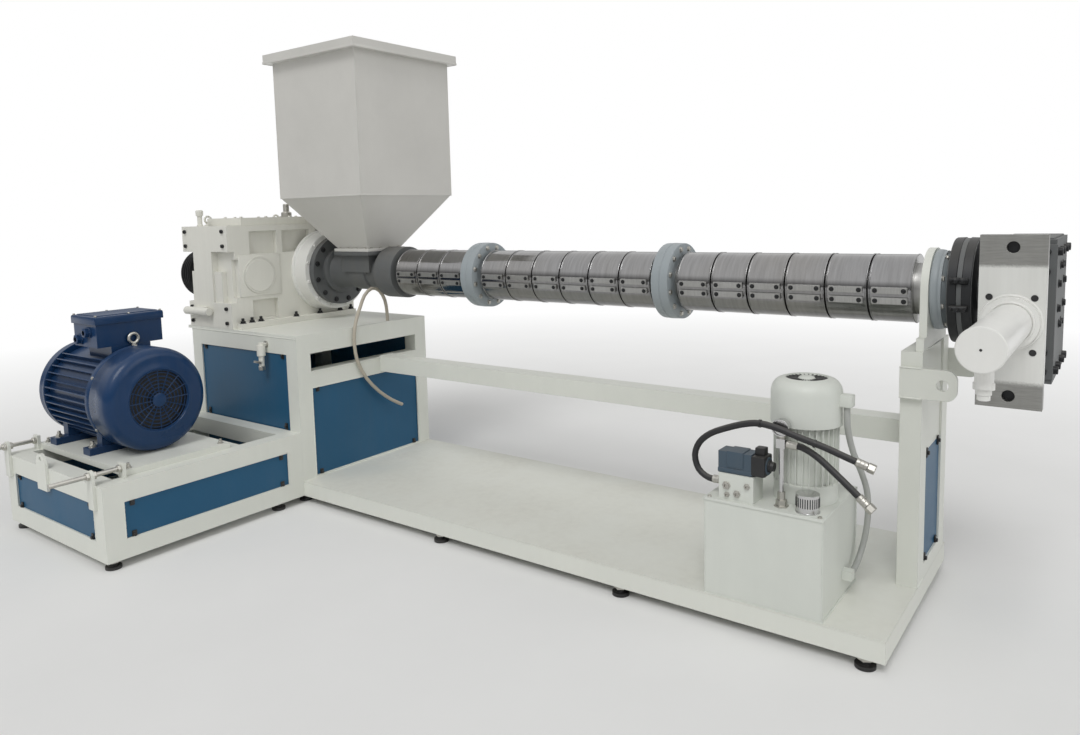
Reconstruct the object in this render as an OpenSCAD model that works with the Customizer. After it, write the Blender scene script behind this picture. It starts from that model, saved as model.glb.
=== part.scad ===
// Single screw plastic extruder: motor stand, gearbox stand and long platform joined in one line,
// with the heated barrel, hopper, screen changer and its hydraulic power pack.
// X runs along the machine from the drive to the outlet, Y goes back from the operator's side, Z is up.

/* [Frames] */
// Height of the levelling feet
foot_h = 40; // [30:1:60]
// Width across a levelling foot
foot_d = 70; // [50:5:90]
// Side of the square tube of the stands
tube = 90; // [70:5:110]
// Length of the motor stand and of the gearbox stand along the machine
stand_l = 1000; // [960:10:1100]
// Depth of the gearbox stand and of the platform
stand_d = 975; // [950:5:1050]
// Height of the gearbox stand's frame
stand_h = 876; // [840:2:900]
// Thickness of the plate under the gearbox
stand_top_t = 16; // [10:1:25]
// Height of the slot below the gearbox stand's top rail
slot_h = 100; // [80:5:120]
// Depth of the motor stand
motor_stand_d = 1054; // [1000:2:1100]
// Height of the motor stand's frame
motor_stand_h = 350; // [320:5:380]
// Gap between the gearbox stand and the far edge of the motor stand's deck
deck_gap = 315; // [280:5:340]
// Width of the cross member of the motor stand's deck
deck_rail_w = 60; // [40:5:60]
// Thickness of the blue panels
panel_t = 4; // [3:1:8]
// Depth of the panels behind the tube's face
panel_inset = 8; // [4:1:20]
// Length of the platform
platform_l = 3000; // [2960:10:3100]
// Height of the platform with its deck
platform_h = 80; // [70:2:100]
// Thickness of the platform's deck
deck_t = 6; // [4:1:10]
// Width of the platform's frame members
platform_rail_w = 60; // [40:5:80]

/* [Beam and end frame] */
// Height of the beam that ties the stand to the end frame
beam_h = 90; // [70:2:110]
// Width of the tie beam
beam_w = 100; // [80:5:120]
// Height of the beam's underside above the frames' underside
beam_z = 588; // [560:2:600]
// Place of the beam's near face behind the platform's front
beam_y = 590; // [570:5:620]
// Size of the end posts along the machine
post_l = 74; // [60:2:90]
// Depth of each end post
post_d = 100; // [80:5:120]
// Place of the near post behind the platform's front
post_y = 458; // [430:2:470]
// Overall depth of the end frame
end_frame_d = 484; // [470:2:500]
// Height of the end frame's top above the frames' underside
end_frame_h = 968; // [950:2:980]
// Height of the end frame's blue panel above the platform
end_panel_h = 490; // [450:5:500]
// Thickness of the plate that carries the barrel's end
support_t = 27; // [20:1:35]
// Radius of the plate round the barrel
support_r = 157; // [150:1:180]
// Reach of each hinge bracket past the end posts
bracket_out = 117; // [100:1:130]
// Height of the hinge brackets
bracket_h = 112; // [100:2:130]
// Thickness of the hinge brackets
bracket_t = 18; // [12:1:25]
// Diameter of the pivot hole in the hinge brackets
pivot_d = 40; // [30:1:50]
// Distance of the pivot hole from the bracket's free end
pivot_in = 48; // [40:1:55]

/* [Drive motor] */
// Height of the motor's shaft above its base plate
shaft_h = 258; // [256:1:264]
// Place of the motor's shaft in front of the gearbox stand
motor_y = 645; // [620:5:660]
// Distance of the fan cowl's end from the stand's edge
cowl_x = 220; // [200:5:240]
// Diameter of the fan cowl
cowl_d = 510; // [480:5:514]
// Length of the fan cowl
cowl_l = 212; // [190:2:230]
// Wall of the fan cowl
cowl_t = 6; // [4:1:8]
// Diameter of the opening behind the cowl's guard
guard_d = 294; // [260:2:320]
// Diameter of the motor's round body without fins
motor_core_d = 440; // [400:5:460]
// Length of the motor's finned body
motor_body_l = 470; // [450:5:500]
// Height of the body's fins
fin_h = 28; // [15:1:34]
// Thickness of a fin
fin_t = 6; // [4:1:8]
// Angle between neighbouring fins
fin_step = 9; // [8:1:12]
// Length of the end shield past the body
shield_l = 92; // [80:2:110]
// Diameter of the motor's shaft
motor_shaft_d = 65; // [50:5:75]
// Length of the bare shaft end
motor_shaft_l = 140; // [120:5:141]
// Diameter of the cooling fan
fan_d = 400; // [340:5:440]
// Length of the terminal box along the machine
term_l = 230; // [200:5:260]
// Depth of the terminal box
term_d = 330; // [280:5:340]
// Height of the terminal box
term_h = 150; // [120:5:170]
// Distance of the terminal box from the cowl
term_gap = 30; // [10:5:60]
// Thickness of the motor's base plate
base_t = 28; // [24:1:40]
// Length of the motor's base plate along the machine
base_l = 880; // [860:5:900]
// Depth of the motor's base plate
base_d = 540; // [520:5:560]
// Diameter of the draw screws
screw_d = 20; // [16:1:24]
// Distance that the draw screws stand out of the motor stand
screw_out = 180; // [150:5:200]
// Width of a draw screw's lug
lug_w = 50; // [40:2:60]
// Thickness of a draw screw's lug
lug_t = 14; // [10:1:20]
// Height of the draw screws above the motor stand
screw_z = 44; // [42:1:50]

/* [Gearbox] */
// Length of the gearbox along the machine
gearbox_l = 465; // [440:5:480]
// Distance of the gearbox's outlet face from the stand's edge
gearbox_x = 575; // [560:5:590]
// Depth of the gearbox
gearbox_d = 900; // [860:5:930]
// Height of the gearbox
gearbox_h = 596; // [580:2:620]
// Thickness of the gearbox's foot flange
gearbox_foot_t = 32; // [25:1:45]
// Overhang of the foot flange toward the barrel
gearbox_foot_out = 55; // [40:5:70]
// Depth of the flat pockets cast in the gearbox's faces
pocket_t = 32; // [15:1:40]
// Height of the drive shafts above the gearbox's base
input_z = 302; // [296:1:306]
// Place of the input shaft behind the gearbox's front
input_y = 185; // [170:1:200]
// Diameter of the input pulley
pulley_d = 294; // [270:2:310]
// Width of the input pulley
pulley_w = 90; // [80:2:100]
// Gap between the gearbox and its pulley
pulley_gap = 20; // [10:1:30]
// Diameter of the input shaft
input_d = 60; // [50:2:70]
// Number of belt grooves in the pulley
groove_n = 4; // [3:1:5]
// Diameter of the thrust bearing housing
thrust_d = 482; // [460:2:500]
// Length of the thrust bearing housing
thrust_l = 120; // [100:5:140]

/* [Barrel] */
// Place of the barrel's centre line behind the platform's front
axis_y = 675; // [665:1:685]
// Height of the barrel's centre line above the frames' underside
axis_z = 1178; // [1176:1:1180]
// Diameter of the feed section's flange
feed_flange_d = 422; // [400:2:440]
// Thickness of the feed section's flange
feed_flange_t = 42; // [30:1:50]
// Diameter of the feed section
feed_d = 204; // [196:2:210]
// Diameter of the shoulder after the feed section
shoulder_d = 296; // [280:2:310]
// Length of the shoulder
shoulder_l = 140; // [120:5:150]
// Place of the shoulder's near end along the machine
shoulder_x = 48; // [40:2:60]
// Diameter of the steel barrel under the heaters
barrel_d = 196; // [180:2:210]
// Outer diameter of the heater bands
band_d = 260; // [250:2:270]
// Length of one heater band
band_l = 161; // [150:1:166]
// Gap between neighbouring heater bands
band_gap = 6; // [4:1:10]
// Gap between a heater zone and the flange beside it
zone_gap = 28; // [20:1:32]
// Diameter of the barrel's joint flanges
joint_d = 340; // [320:2:360]
// Thickness of one joint flange
joint_t = 40; // [30:1:44]

/* [Hopper] */
// Place of the hopper's centre on the feed section, before the stand's edge
hopper_x = 140; // [130:2:150]
// Length of the hopper's body
hopper_l = 700; // [660:5:720]
// Depth of the hopper's body
hopper_d = 720; // [680:5:740]
// Height of the hopper's straight body
hopper_h = 772; // [740:2:800]
// Height of the hopper's tapered part
cone_h = 322; // [300:2:340]
// Side of the square outlet under the hopper
outlet_l = 240; // [220:5:260]
// Sheet thickness of the hopper
sheet_t = 5; // [4:1:8]
// Thickness of the flange between the hopper and the feed section
throat_t = 24; // [18:1:30]
// Side of the throat's opening
throat_l = 120; // [100:5:130]
// Overhang of the hopper's lid
lid_out = 40; // [30:2:50]
// Height of the hopper's lid
lid_h = 55; // [45:1:70]

/* [Outlet end] */
// Diameter of the barrel's end flange
end_flange_d = 292; // [270:2:300]
// Length of the end flange with its step
end_flange_l = 65; // [55:1:75]
// Diameter of the heated adapter
adapter_d = 386; // [370:2:400]
// Length of the heated adapter
adapter_l = 80; // [70:2:90]
// Length of the neck between adapter and screen changer
neck_l = 69; // [60:1:80]
// Diameter of that neck
neck_d = 150; // [120:5:170]
// Size of the screen changer along the machine
changer_l = 181; // [170:1:200]
// Depth of the screen changer's body
changer_d = 440; // [420:5:460]
// Height of the screen changer's body
changer_h = 480; // [460:5:500]
// Thickness of the slide plate in the screen changer
slide_t = 60; // [50:2:70]
// Height of the slide plate
slide_h = 190; // [170:5:210]
// Place of the cylinder's plate behind the platform's front
plate_y = 150; // [130:5:170]
// Thickness of the cylinder's plate
plate_t = 40; // [30:1:50]
// Height of the cylinder's plate
plate_h = 534; // [520:2:550]
// Drop of the cylinder's centre line below the barrel's
plate_drop = 44; // [30:1:50]
// Distance of each tie bar from the plate's centre
tie_off = 229; // [220:1:234]
// Diameter of the tie bars
tie_d = 36; // [30:1:40]
// Diameter of the hydraulic cylinder
cylinder_d = 118; // [110:1:130]
// Length of the hydraulic cylinder
cylinder_l = 570; // [540:5:600]
// Diameter of the collar where the cylinder meets its plate
collar_d = 158; // [150:1:170]
// Diameter of the piston rod
rod_d = 50; // [40:2:60]

/* [Power pack] */
// Length of the oil tank along the machine
tank_l = 432; // [400:2:450]
// Depth of the oil tank
tank_d = 400; // [380:5:420]
// Height of the oil tank
tank_h = 366; // [340:2:380]
// Wall of the oil tank
tank_t = 4; // [3:1:6]
// Thickness of the tank's lid
tank_lid_t = 8; // [6:1:12]
// Place of the tank along the platform
tank_x = 2358; // [2340:2:2380]
// Place of the tank behind the platform's front
tank_y = 8; // [4:1:14]
// Diameter of the pump motor's cover
pump_cover_d = 250; // [230:2:256]
// Height of the pump motor's cover
pump_cover_h = 176; // [160:2:190]
// Diameter of the pump motor's body without fins
pump_core_d = 200; // [180:2:210]
// Height of the pump motor's body
pump_body_h = 220; // [200:5:240]
// Diameter of the pump motor's flange
pump_flange_d = 222; // [216:2:230]
// Height of the pump motor's flange and bell housing
pump_flange_h = 60; // [50:2:70]
// Place of the pump motor along the tank
pump_x = 307; // [300:1:310]
// Length of the valve manifold
manifold_l = 132; // [120:2:150]
// Depth of the valve manifold
manifold_d = 90; // [80:2:110]
// Height of the valve manifold
manifold_h = 98; // [90:2:110]
// Height of the solenoid valve
valve_h = 80; // [70:2:90]
// Length of the solenoid's coil past the valve
coil_l = 52; // [40:2:60]
// Diameter of the pressure gauge
gauge_d = 56; // [50:2:63]
// Height of the gauge's centre above the tank
gauge_h = 288; // [270:2:300]
// Diameter of the gauge's pipe
gauge_pipe_d = 18; // [14:1:22]
// Diameter of the tank's filler cap
filler_d = 80; // [70:2:90]
// Height of the tank's filler cap
filler_h = 66; // [55:1:75]

/* [Hoses] */
// Diameter of the black hydraulic hoses
hydraulic_hose_d = 24; // [18:1:28]
// Diameter of the grey conduit behind the pump motor
level_hose_d = 22; // [18:1:26]
// Diameter of the beige cooling water hose
water_hose_d = 20; // [16:1:22]

/* [Hidden] */
$fn = 64;
eps = 0.3;
run_gap = 0.3;
bore_gap = 2;

frame_low = foot_h;
motor_top = foot_h + motor_stand_h;
stand_top = foot_h + stand_h;
deck_top = foot_h + platform_h;
axis_h = foot_h + axis_z;
beam_low = foot_h + beam_z;
post_x = platform_l - post_l;
end_top = foot_h + end_frame_h;
end_far = post_y + end_frame_d;

shaft_z = motor_top + run_gap + base_t + shaft_h;
cowl_back = -cowl_x - cowl_l;
body_back = cowl_back - motor_body_l;
shield_back = body_back - shield_l;
shaft_end = shield_back - motor_shaft_l;
base_x1 = -79;
base_x0 = base_x1 - base_l;
base_y0 = -motor_y - base_d / 2;
screw_h = motor_top + screw_z;

gearbox_back = -gearbox_x - gearbox_l;
gearbox_top = stand_top + gearbox_h;
input_h = stand_top + input_z;
pulley_x1 = gearbox_back - pulley_gap;
pulley_x0 = pulley_x1 - pulley_w;
thrust_x = -gearbox_x + thrust_l;
feed_x = thrust_x + feed_flange_t;
shoulder_end = shoulder_x + shoulder_l;

rear_x = shoulder_end + zone_gap;
zone_step = band_l + band_gap;
joint1_x = rear_x + 3 * zone_step - band_gap + zone_gap;
middle_x = joint1_x + 2 * joint_t + zone_gap;
joint2_x = middle_x + 6 * zone_step - band_gap + zone_gap;
front_x = joint2_x + 2 * joint_t + zone_gap;
support_x = platform_l - support_t;
front_room = support_x - zone_gap - front_x;
front_band_l = front_room / 6 - band_gap;

outlet_z = axis_h + feed_d / 2 + throat_t;
cone_top = outlet_z + cone_h;
body_top = cone_top + hopper_h;

adapter_x = platform_l + end_flange_l;
neck_x = adapter_x + adapter_l;
changer_x = neck_x + neck_l;
changer_mid = changer_x + changer_l / 2;
changer_y = axis_y - changer_d / 2;
slide_z = axis_h - plate_drop;

tank_low = deck_top;
tank_top = tank_low + tank_h;
pump_cx = tank_x + pump_x;
pump_cy = tank_y + tank_d / 2;

low_x = pulley_x0;
gland_x = pump_cx + pump_cover_d / 2 - 16;
gland_l = 44;
gland_y = pump_cy - gland_l / 2;
gland_z = tank_top + pump_flange_h + pump_body_h + 72;

hose_sides = 10;
pressure_route = [
    [2408, 67, 540], [2350, 67, 540], [2306, 70, 566], [2290, 72, 618], [2310, 70, 670],
    [2358, 64, 712], [2430, 54, 746], [2500, 42, 772], [2560, 31, 784], [2628, 27, 776],
    [2700, 30, 754], [2780, 36, 732], [2860, 42, 704], [2928, 50, 680]
];
return_route = [
    [2644, 60, 717], [2700, 58, 712], [2757, 50, 688], [2812, 38, 652], [2868, 26, 612],
    [2936, 20, 556]
];
level_route = [
    [2808, 208, 838], [2810, 212, 760], [2818, 250, 670], [2828, 320, 580], [2834, 384, 490],
    [2834, 408, 400], [2828, 400, 310], [2818, 366, 240], [2812, 320, 206], [2812, 270, 206]
];
water_route = [
    [-40, 700, 916], [-40, 698, 975], [-30, 676, 1045], [-18, 626, 1105], [-10, 560, 1126],
    [-8, 500, 1090], [-4, 462, 1030], [6, 425, 975], [15, 398, 920], [16, 387, 850],
    [15, 392, 770], [16, 412, 700], [22, 460, 610], [34, 540, 520], [50, 626, 452], [64, 692, 414]
];

high_x = changer_x + changer_l;
low_y = -motor_stand_d - screw_out;
high_y = axis_y + hopper_d / 2 + lid_out;
shift = [-(low_x + high_x) / 2, -(low_y + high_y) / 2, 0];

cream = [0.80, 0.80, 0.76];
shade_blue = [0.19, 0.37, 0.50];
motor_blue = [0.12, 0.25, 0.42];
dark_grey = [0.35, 0.36, 0.36];
steel = [0.70, 0.71, 0.72];

module block(x, y, z, l, d, h) {
    translate([x, y, z]) cube([l, d, h]);
}

module rod_x(x, y, z, l, dia) {
    translate([x, y, z]) rotate([0, 90, 0]) cylinder(h = l, d = dia);
}

module rod_y(x, y, z, l, dia) {
    translate([x, y, z]) rotate([-90, 0, 0]) cylinder(h = l, d = dia);
}

module rod_z(x, y, z, l, dia) {
    translate([x, y, z]) cylinder(h = l, d = dia);
}

module ring_x(x, y, z, l, outer, inner) {
    difference() {
        rod_x(x, y, z, l, outer);
        rod_x(x - 1, y, z, l + 2, inner);
    }
}

module tube_frame(x, y, z, l, d, h) {
    translate([x, y, z]) {
        for (px = [0, l - tube], py = [0, d - tube]) block(px, py, 0, tube, tube, h);
        for (py = [0, d - tube], pz = [0, h - tube]) block(0, py, pz, l, tube, tube);
        for (px = [0, l - tube], pz = [0, h - tube]) block(px, 0, pz, tube, d, tube);
    }
}

module foot(x, y) {
    rod_z(x, y, 0, foot_h / 3, foot_d);
    rod_z(x, y, foot_h / 3 - eps, foot_h * 2 / 3 + eps, foot_d / 2);
}

module levelling_feet() color("dimgray") {
    inset = tube / 2;
    for (x = [-stand_l + inset, -inset]) {
        for (y = [-motor_stand_d + inset, -inset - tube, inset, stand_d - inset]) foot(x, y);
    }
    for (x = [platform_l * 0.33, platform_l * 0.66, platform_l - foot_d]) {
        for (y = [platform_rail_w / 2, stand_d - platform_rail_w / 2]) foot(x, y);
    }
}

module motor_stand_frame() color(cream) {
    tube_frame(-stand_l, -motor_stand_d, frame_low, stand_l, motor_stand_d, motor_stand_h);
    block(-stand_l, -deck_gap - deck_rail_w, motor_top - tube, stand_l, deck_rail_w, tube);
}

module lug(x, y, z, h, w, hole_z) {
    difference() {
        union() {
            block(x - w / 2, y, z, w, lug_t, h - w / 2);
            rod_y(x, y, z + h - w / 2, lug_t, w);
        }
        rod_y(x, y - 1, hole_z, lug_t + 2, screw_d + bore_gap);
    }
}

module draw_screw_lugs() color(cream) {
    lug_low = motor_top - tube - 20;
    lug_h = screw_h + lug_w / 2 - lug_low;
    for (x = [base_x0, base_x1]) lug(x, -motor_stand_d - lug_t, lug_low, lug_h, lug_w, screw_h);
    lug((base_x0 + base_x1) / 2 - lug_w, -motor_stand_d - lug_t, lug_low, lug_h, lug_w * 2, screw_h);
}

module gearbox_stand_frame() color(cream) {
    under_top = stand_h - stand_top_t;
    tube_frame(-stand_l, 0, frame_low, stand_l, stand_d, under_top);
    for (x = [-stand_l, -tube]) {
        block(x, 0, frame_low + under_top - 2 * tube - slot_h, tube, stand_d, tube);
    }
    block(-stand_l, 0, stand_top - stand_top_t, stand_l, stand_d, stand_top_t);
    block(gearbox_back, 0, stand_top - stand_top_t, gearbox_l, stand_d, stand_top_t);
}

module panel_y(x, y, z, l, h) {
    block(x, y, z, l, panel_t, h);
}

module panel_x(x, y, z, d, h) {
    block(x, y, z, panel_t, d, h);
}

module stand_panels() color(shade_blue) {
    inner_l = stand_l - 2 * tube;
    motor_panel_h = motor_stand_h - 2 * tube;
    motor_panel_d = motor_stand_d - 2 * tube;
    low = frame_low + tube;
    back = panel_inset + panel_t;
    panel_y(-stand_l + tube, -motor_stand_d + panel_inset, low, inner_l, motor_panel_h);
    panel_x(-back, -motor_stand_d + tube, low, motor_panel_d, motor_panel_h);
    panel_x(-stand_l + panel_inset, -motor_stand_d + tube, low, motor_panel_d, motor_panel_h);
    side_h = stand_h - stand_top_t - 2 * tube;
    end_h = side_h - tube - slot_h;
    panel_y(-stand_l + tube, panel_inset, low, inner_l, side_h);
    panel_y(-stand_l + tube, stand_d - back, low, inner_l, side_h);
    panel_x(-back, tube, low, stand_d - 2 * tube, end_h);
    panel_x(-stand_l + panel_inset, tube, low, stand_d - 2 * tube, end_h);
}

module platform_frame() color(cream) {
    h = platform_h - deck_t;
    for (y = [0, stand_d - platform_rail_w]) block(0, y, frame_low, platform_l, platform_rail_w, h);
    cross = (platform_l - platform_rail_w) / 4;
    for (i = [0:4]) block(i * cross, 0, frame_low, platform_rail_w, stand_d, h);
}

module platform_deck() color(cream) {
    block(0, 0, deck_top - deck_t, platform_l, stand_d, deck_t);
}

module tie_beam() color(cream) {
    block(0, beam_y, beam_low, post_x, beam_w, beam_h);
}

module end_frame() color(cream) {
    h = end_top - deck_top;
    panel_top = deck_top + end_panel_h;
    for (y = [post_y, end_far - post_d]) block(post_x, y, deck_top, post_l, post_d, h);
    block(post_x, post_y, panel_top, post_l - panel_inset, end_frame_d, end_top - panel_top);
    block(post_x, post_y, deck_top, post_l, end_frame_d, platform_rail_w);
}

module end_panel() color(shade_blue) {
    low = deck_top + platform_rail_w;
    gap = end_frame_d - 2 * post_d;
    block(platform_l - panel_inset - panel_t, post_y + post_d, low, panel_t, gap,
        deck_top + end_panel_h - low);
}

module hinge_bracket(y) {
    r = bracket_h / 3;
    top = end_top - bracket_h / 2;
    low = top - bracket_h;
    far = platform_l + bracket_out;
    difference() {
        union() {
            block(post_x, y, low, far - r - post_x, bracket_t, bracket_h);
            block(far - r - eps, y, low + r, r + eps, bracket_t, bracket_h - 2 * r);
            for (z = [low + r, top - r]) rod_y(far - r, y, z, bracket_t, 2 * r);
        }
        rod_y(far - pivot_in, y - 1, (low + top) / 2, bracket_t + 2, pivot_d);
    }
}

module hinge_brackets() color(cream) {
    hinge_bracket(post_y - bracket_t);
    hinge_bracket(end_far);
}

module barrel_support() color(cream) {
    low = end_top;
    flare = support_r * 0.3;
    difference() {
        union() {
            block(support_x, axis_y - support_r, low, support_t, 2 * support_r, axis_h - low);
            rod_x(support_x, axis_y, axis_h, support_t, 2 * support_r);
            block(support_x, axis_y - support_r - flare, low, support_t, 2 * (support_r + flare), flare);
        }
        rod_x(support_x - 1, axis_y, axis_h, support_t + 2, barrel_d);
    }
}

module gearbox_housing() color(cream) {
    front_x = -gearbox_x;
    web = 105;
    core_x = gearbox_back + web;
    core_y = 40;
    split_h = 150;
    difference() {
        union() {
            block(core_x, core_y, stand_top, front_x - core_x, gearbox_d - core_y, gearbox_h);
            block(gearbox_back, 0, gearbox_top - split_h, front_x - gearbox_back, gearbox_d, split_h);
            block(gearbox_back + 30, 0, stand_top, front_x - gearbox_back - 30, gearbox_d, split_h);
            block(core_x, 0, stand_top, 190, core_y, gearbox_h);
            block(core_x - 40, 10, stand_top + split_h, 310, core_y, split_h + 30);
            block(front_x - 1, 30, stand_top, gearbox_foot_out + 1, gearbox_d - 60, gearbox_foot_t);
            rod_x(gearbox_back, input_y, input_h, web + 1, input_d * 2.4);
        }
        for (p = gearbox_pockets) {
            block(front_x - pocket_t, p[0], stand_top + p[1], pocket_t + 1, p[2], p[3]);
        }
        rod_x(gearbox_back - 1, input_y, input_h, web, input_d + bore_gap);
    }
}

gearbox_pockets = [
    [144, 44, 172, 112], [144, 430, 185, 130], [370, 430, 200, 130], [620, 430, 200, 130],
    [12, 180, 50, 220], [680, 60, 160, 320]
];

module gearbox_covers() color(cream) {
    cover_d = 216;
    cover_y = input_y + 10;
    plate_h = 44;
    rod_x(-gearbox_x, cover_y, input_h, 10, cover_d);
    block(gearbox_back + 90, 115, gearbox_top, gearbox_l - 120, 530, plate_h);
    rod_z(gearbox_back + 135, 40, gearbox_top, 90, 24);
    rod_z(-gearbox_x - 80, 470, gearbox_top + plate_h, 26, 60);
    rod_z(-gearbox_x - 80, 470, gearbox_top + plate_h + 26 - eps, 50, 34);
}

module thrust_housing() color(cream) {
    ring_x(-gearbox_x, axis_y, axis_h, thrust_l, thrust_d, feed_d);
}

module oil_fittings() color(cream) {
    rod_x(-1000, -26, stand_top + 96, 240, 46);
    block(-930, -26, stand_top + 70, 120, 26, 52);
    rod_y(-265, -34, stand_top - 60, 34, 26);
    rod_z(-265, -34, stand_top - 200, 153, 30);
    rod_z(-265, -34, stand_top - 120, 60, 46);
}

module input_pulley() color([0.06, 0.06, 0.06]) {
    groove = pulley_w / (groove_n + 0.5);
    hub_d = input_d * 2;
    rim_t = 34;
    translate([pulley_x0, input_y, input_h]) rotate([0, 90, 0]) difference() {
        union() {
            difference() {
                cylinder(h = pulley_w, d = pulley_d);
                for (i = [0:groove_n - 1]) translate([0, 0, groove * (0.5 + i)]) groove_cut(groove);
                translate([0, 0, -1]) cylinder(h = pulley_w * 0.3, d = pulley_d - 2 * rim_t);
                translate([0, 0, pulley_w * 0.7]) cylinder(h = pulley_w, d = pulley_d - 2 * rim_t);
            }
            cylinder(h = pulley_w, d = hub_d);
            cylinder(h = pulley_w + pulley_gap + 80, d = input_d);
        }
        translate([0, 0, -1]) cylinder(h = 12, d = input_d * 0.6);
    }
}

module groove_cut(w) {
    rotate_extrude() polygon([
        [pulley_d / 2 - 16, w * 0.3], [pulley_d / 2 - 16, w * 0.6],
        [pulley_d / 2 + 1, w * 0.85], [pulley_d / 2 + 1, w * 0.05]
    ]);
}

module feed_flange() color(dark_grey) {
    ring_x(thrust_x, axis_y, axis_h, feed_flange_t, feed_flange_d, feed_d);
    ring_x(feed_x - eps, axis_y, axis_h, 22 + eps, feed_d + 56, feed_d);
}

module feed_section() color(dark_grey) {
    difference() {
        union() {
            rod_x(thrust_x - 60, axis_y, axis_h, shoulder_x - thrust_x + 61, feed_d);
            rod_x(shoulder_x, axis_y, axis_h, shoulder_l, shoulder_d);
            block(-hopper_x - outlet_l / 2, axis_y - outlet_l / 2, axis_h, outlet_l, outlet_l, feed_d / 2);
        }
        block(-hopper_x - throat_l / 2, axis_y - throat_l / 2, axis_h, throat_l, throat_l, feed_d);
    }
}

module frustum(l1, d1, l2, d2, h) {
    low = [[-l1, -d1], [l1, -d1], [l1, d1], [-l1, d1]] / 2;
    high = [[-l2, -d2], [l2, -d2], [l2, d2], [-l2, d2]] / 2;
    points = concat([for (p = low) [p[0], p[1], 0]], [for (p = high) [p[0], p[1], h]]);
    sides = [for (i = [0:3]) [i, i + 4, (i + 1) % 4 + 4, (i + 1) % 4]];
    polyhedron(points, concat([[0, 1, 2, 3], [7, 6, 5, 4]], sides));
}

module hopper_cone() color(cream) {
    in = 2 * sheet_t;
    translate([-hopper_x, axis_y, outlet_z]) difference() {
        union() {
            frustum(outlet_l, outlet_l, hopper_l, hopper_d, cone_h);
            translate([-outlet_l / 2 - 10, -outlet_l / 2 - 10, -throat_t]) {
                cube([outlet_l + 20, outlet_l + 20, throat_t]);
            }
        }
        translate([0, 0, -eps]) frustum(outlet_l - in, outlet_l - in, hopper_l - in, hopper_d - in, cone_h + 1);
        translate([-throat_l / 2, -throat_l / 2, -throat_t - 1]) cube([throat_l, throat_l, throat_t + 2]);
    }
}

module hopper_body() color(cream) {
    difference() {
        block(-hopper_x - hopper_l / 2, axis_y - hopper_d / 2, cone_top, hopper_l, hopper_d, hopper_h);
        block(-hopper_x - hopper_l / 2 + sheet_t, axis_y - hopper_d / 2 + sheet_t, cone_top - 1,
            hopper_l - 2 * sheet_t, hopper_d - 2 * sheet_t, hopper_h + 2);
    }
}

module hopper_lid() color(cream) {
    l = hopper_l + 2 * lid_out;
    d = hopper_d + 2 * lid_out;
    rim = sheet_t;
    translate([-hopper_x - l / 2, axis_y - d / 2, body_top]) difference() {
        cube([l, d, lid_h - sheet_t]);
        translate([rim, rim, -1]) cube([l - 2 * rim, d - 2 * rim, 1]);
    }
}

module barrel() color(steel) {
    rod_x(shoulder_end, axis_y, axis_h, joint1_x - shoulder_end, barrel_d);
    rod_x(joint1_x + 2 * joint_t, axis_y, axis_h, joint2_x - joint1_x - 2 * joint_t, barrel_d);
    rod_x(joint2_x + 2 * joint_t, axis_y, axis_h, platform_l - joint2_x - 2 * joint_t, barrel_d);
}

module joint_flanges() color(steel) {
    for (x = [joint1_x, joint2_x]) rod_x(x, axis_y, axis_h, 2 * joint_t, joint_d);
}

module heaters(x, count, l) {
    for (i = [0:count - 1]) ring_x(x + i * (l + band_gap), axis_y, axis_h, l, band_d, barrel_d);
}

module rear_heaters() color(steel) heaters(rear_x, 3, band_l);

module middle_heaters() color(steel) heaters(middle_x, 6, band_l);

module front_heaters() color(steel) heaters(front_x, 6, front_band_l);

module end_flange() color(steel) {
    rod_x(platform_l, axis_y, axis_h, end_flange_l * 0.6, end_flange_d);
    rod_x(platform_l + end_flange_l * 0.6 - eps, axis_y, axis_h, end_flange_l * 0.4 + eps,
        end_flange_d * 0.8);
}

module heated_adapter() color("dimgray") {
    rod_x(adapter_x, axis_y, axis_h, adapter_l, adapter_d);
    rod_x(neck_x - eps, axis_y, axis_h, neck_l + eps, neck_d);
}

module screen_changer() color("dimgray") {
    difference() {
        block(changer_x, changer_y, slide_z - changer_h / 2, changer_l, changer_d, changer_h);
        block(changer_mid - slide_t / 2, changer_y - 1, slide_z - slide_h / 2, slide_t,
            changer_d + 2, slide_h);
    }
}

module changer_slide() color(steel) {
    far = stand_d - 20;
    near = changer_y - 60;
    block(changer_mid - slide_t / 2, near, slide_z - slide_h / 2, slide_t, far - near, slide_h);
    rod_y(changer_mid, plate_y + plate_t, slide_z, near - plate_y - plate_t, rod_d);
}

module cylinder_plate() color(cream) {
    difference() {
        block(changer_x, plate_y, slide_z - plate_h / 2, changer_l, plate_t, plate_h);
        for (s = [-1, 1]) rod_y(changer_mid, plate_y - 1, slide_z + s * tie_off, plate_t + 2, tie_d);
    }
}

module tie_bars() color(steel) {
    recess = plate_t / 2;
    for (s = [-1, 1]) {
        rod_y(changer_mid, plate_y + recess, slide_z + s * tie_off,
            changer_y - plate_y - recess, tie_d);
    }
}

module hydraulic_cylinder() color(cream) {
    collar_l = 24;
    rod_y(changer_mid, plate_y - cylinder_l, slide_z, cylinder_l, cylinder_d);
    rod_y(changer_mid, plate_y - collar_l, slide_z, collar_l, collar_d);
    translate([changer_mid, plate_y - cylinder_l + 60, slide_z - cylinder_d / 2 - 50]) {
        cylinder(h = 70, d = 40);
    }
}

module oil_tank() color(cream) {
    in = 2 * tank_t;
    translate([tank_x, tank_y, tank_low]) difference() {
        cube([tank_l, tank_d, tank_h - tank_lid_t]);
        translate([tank_t, tank_t, tank_t]) cube([tank_l - in, tank_d - in, tank_h]);
    }
    block(tank_x + tank_l - eps, 236, 188, 36, 34, 36);
}

module tank_lid() color(cream) {
    block(tank_x, tank_y, tank_top - tank_lid_t, tank_l, tank_d, tank_lid_t);
}

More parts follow.
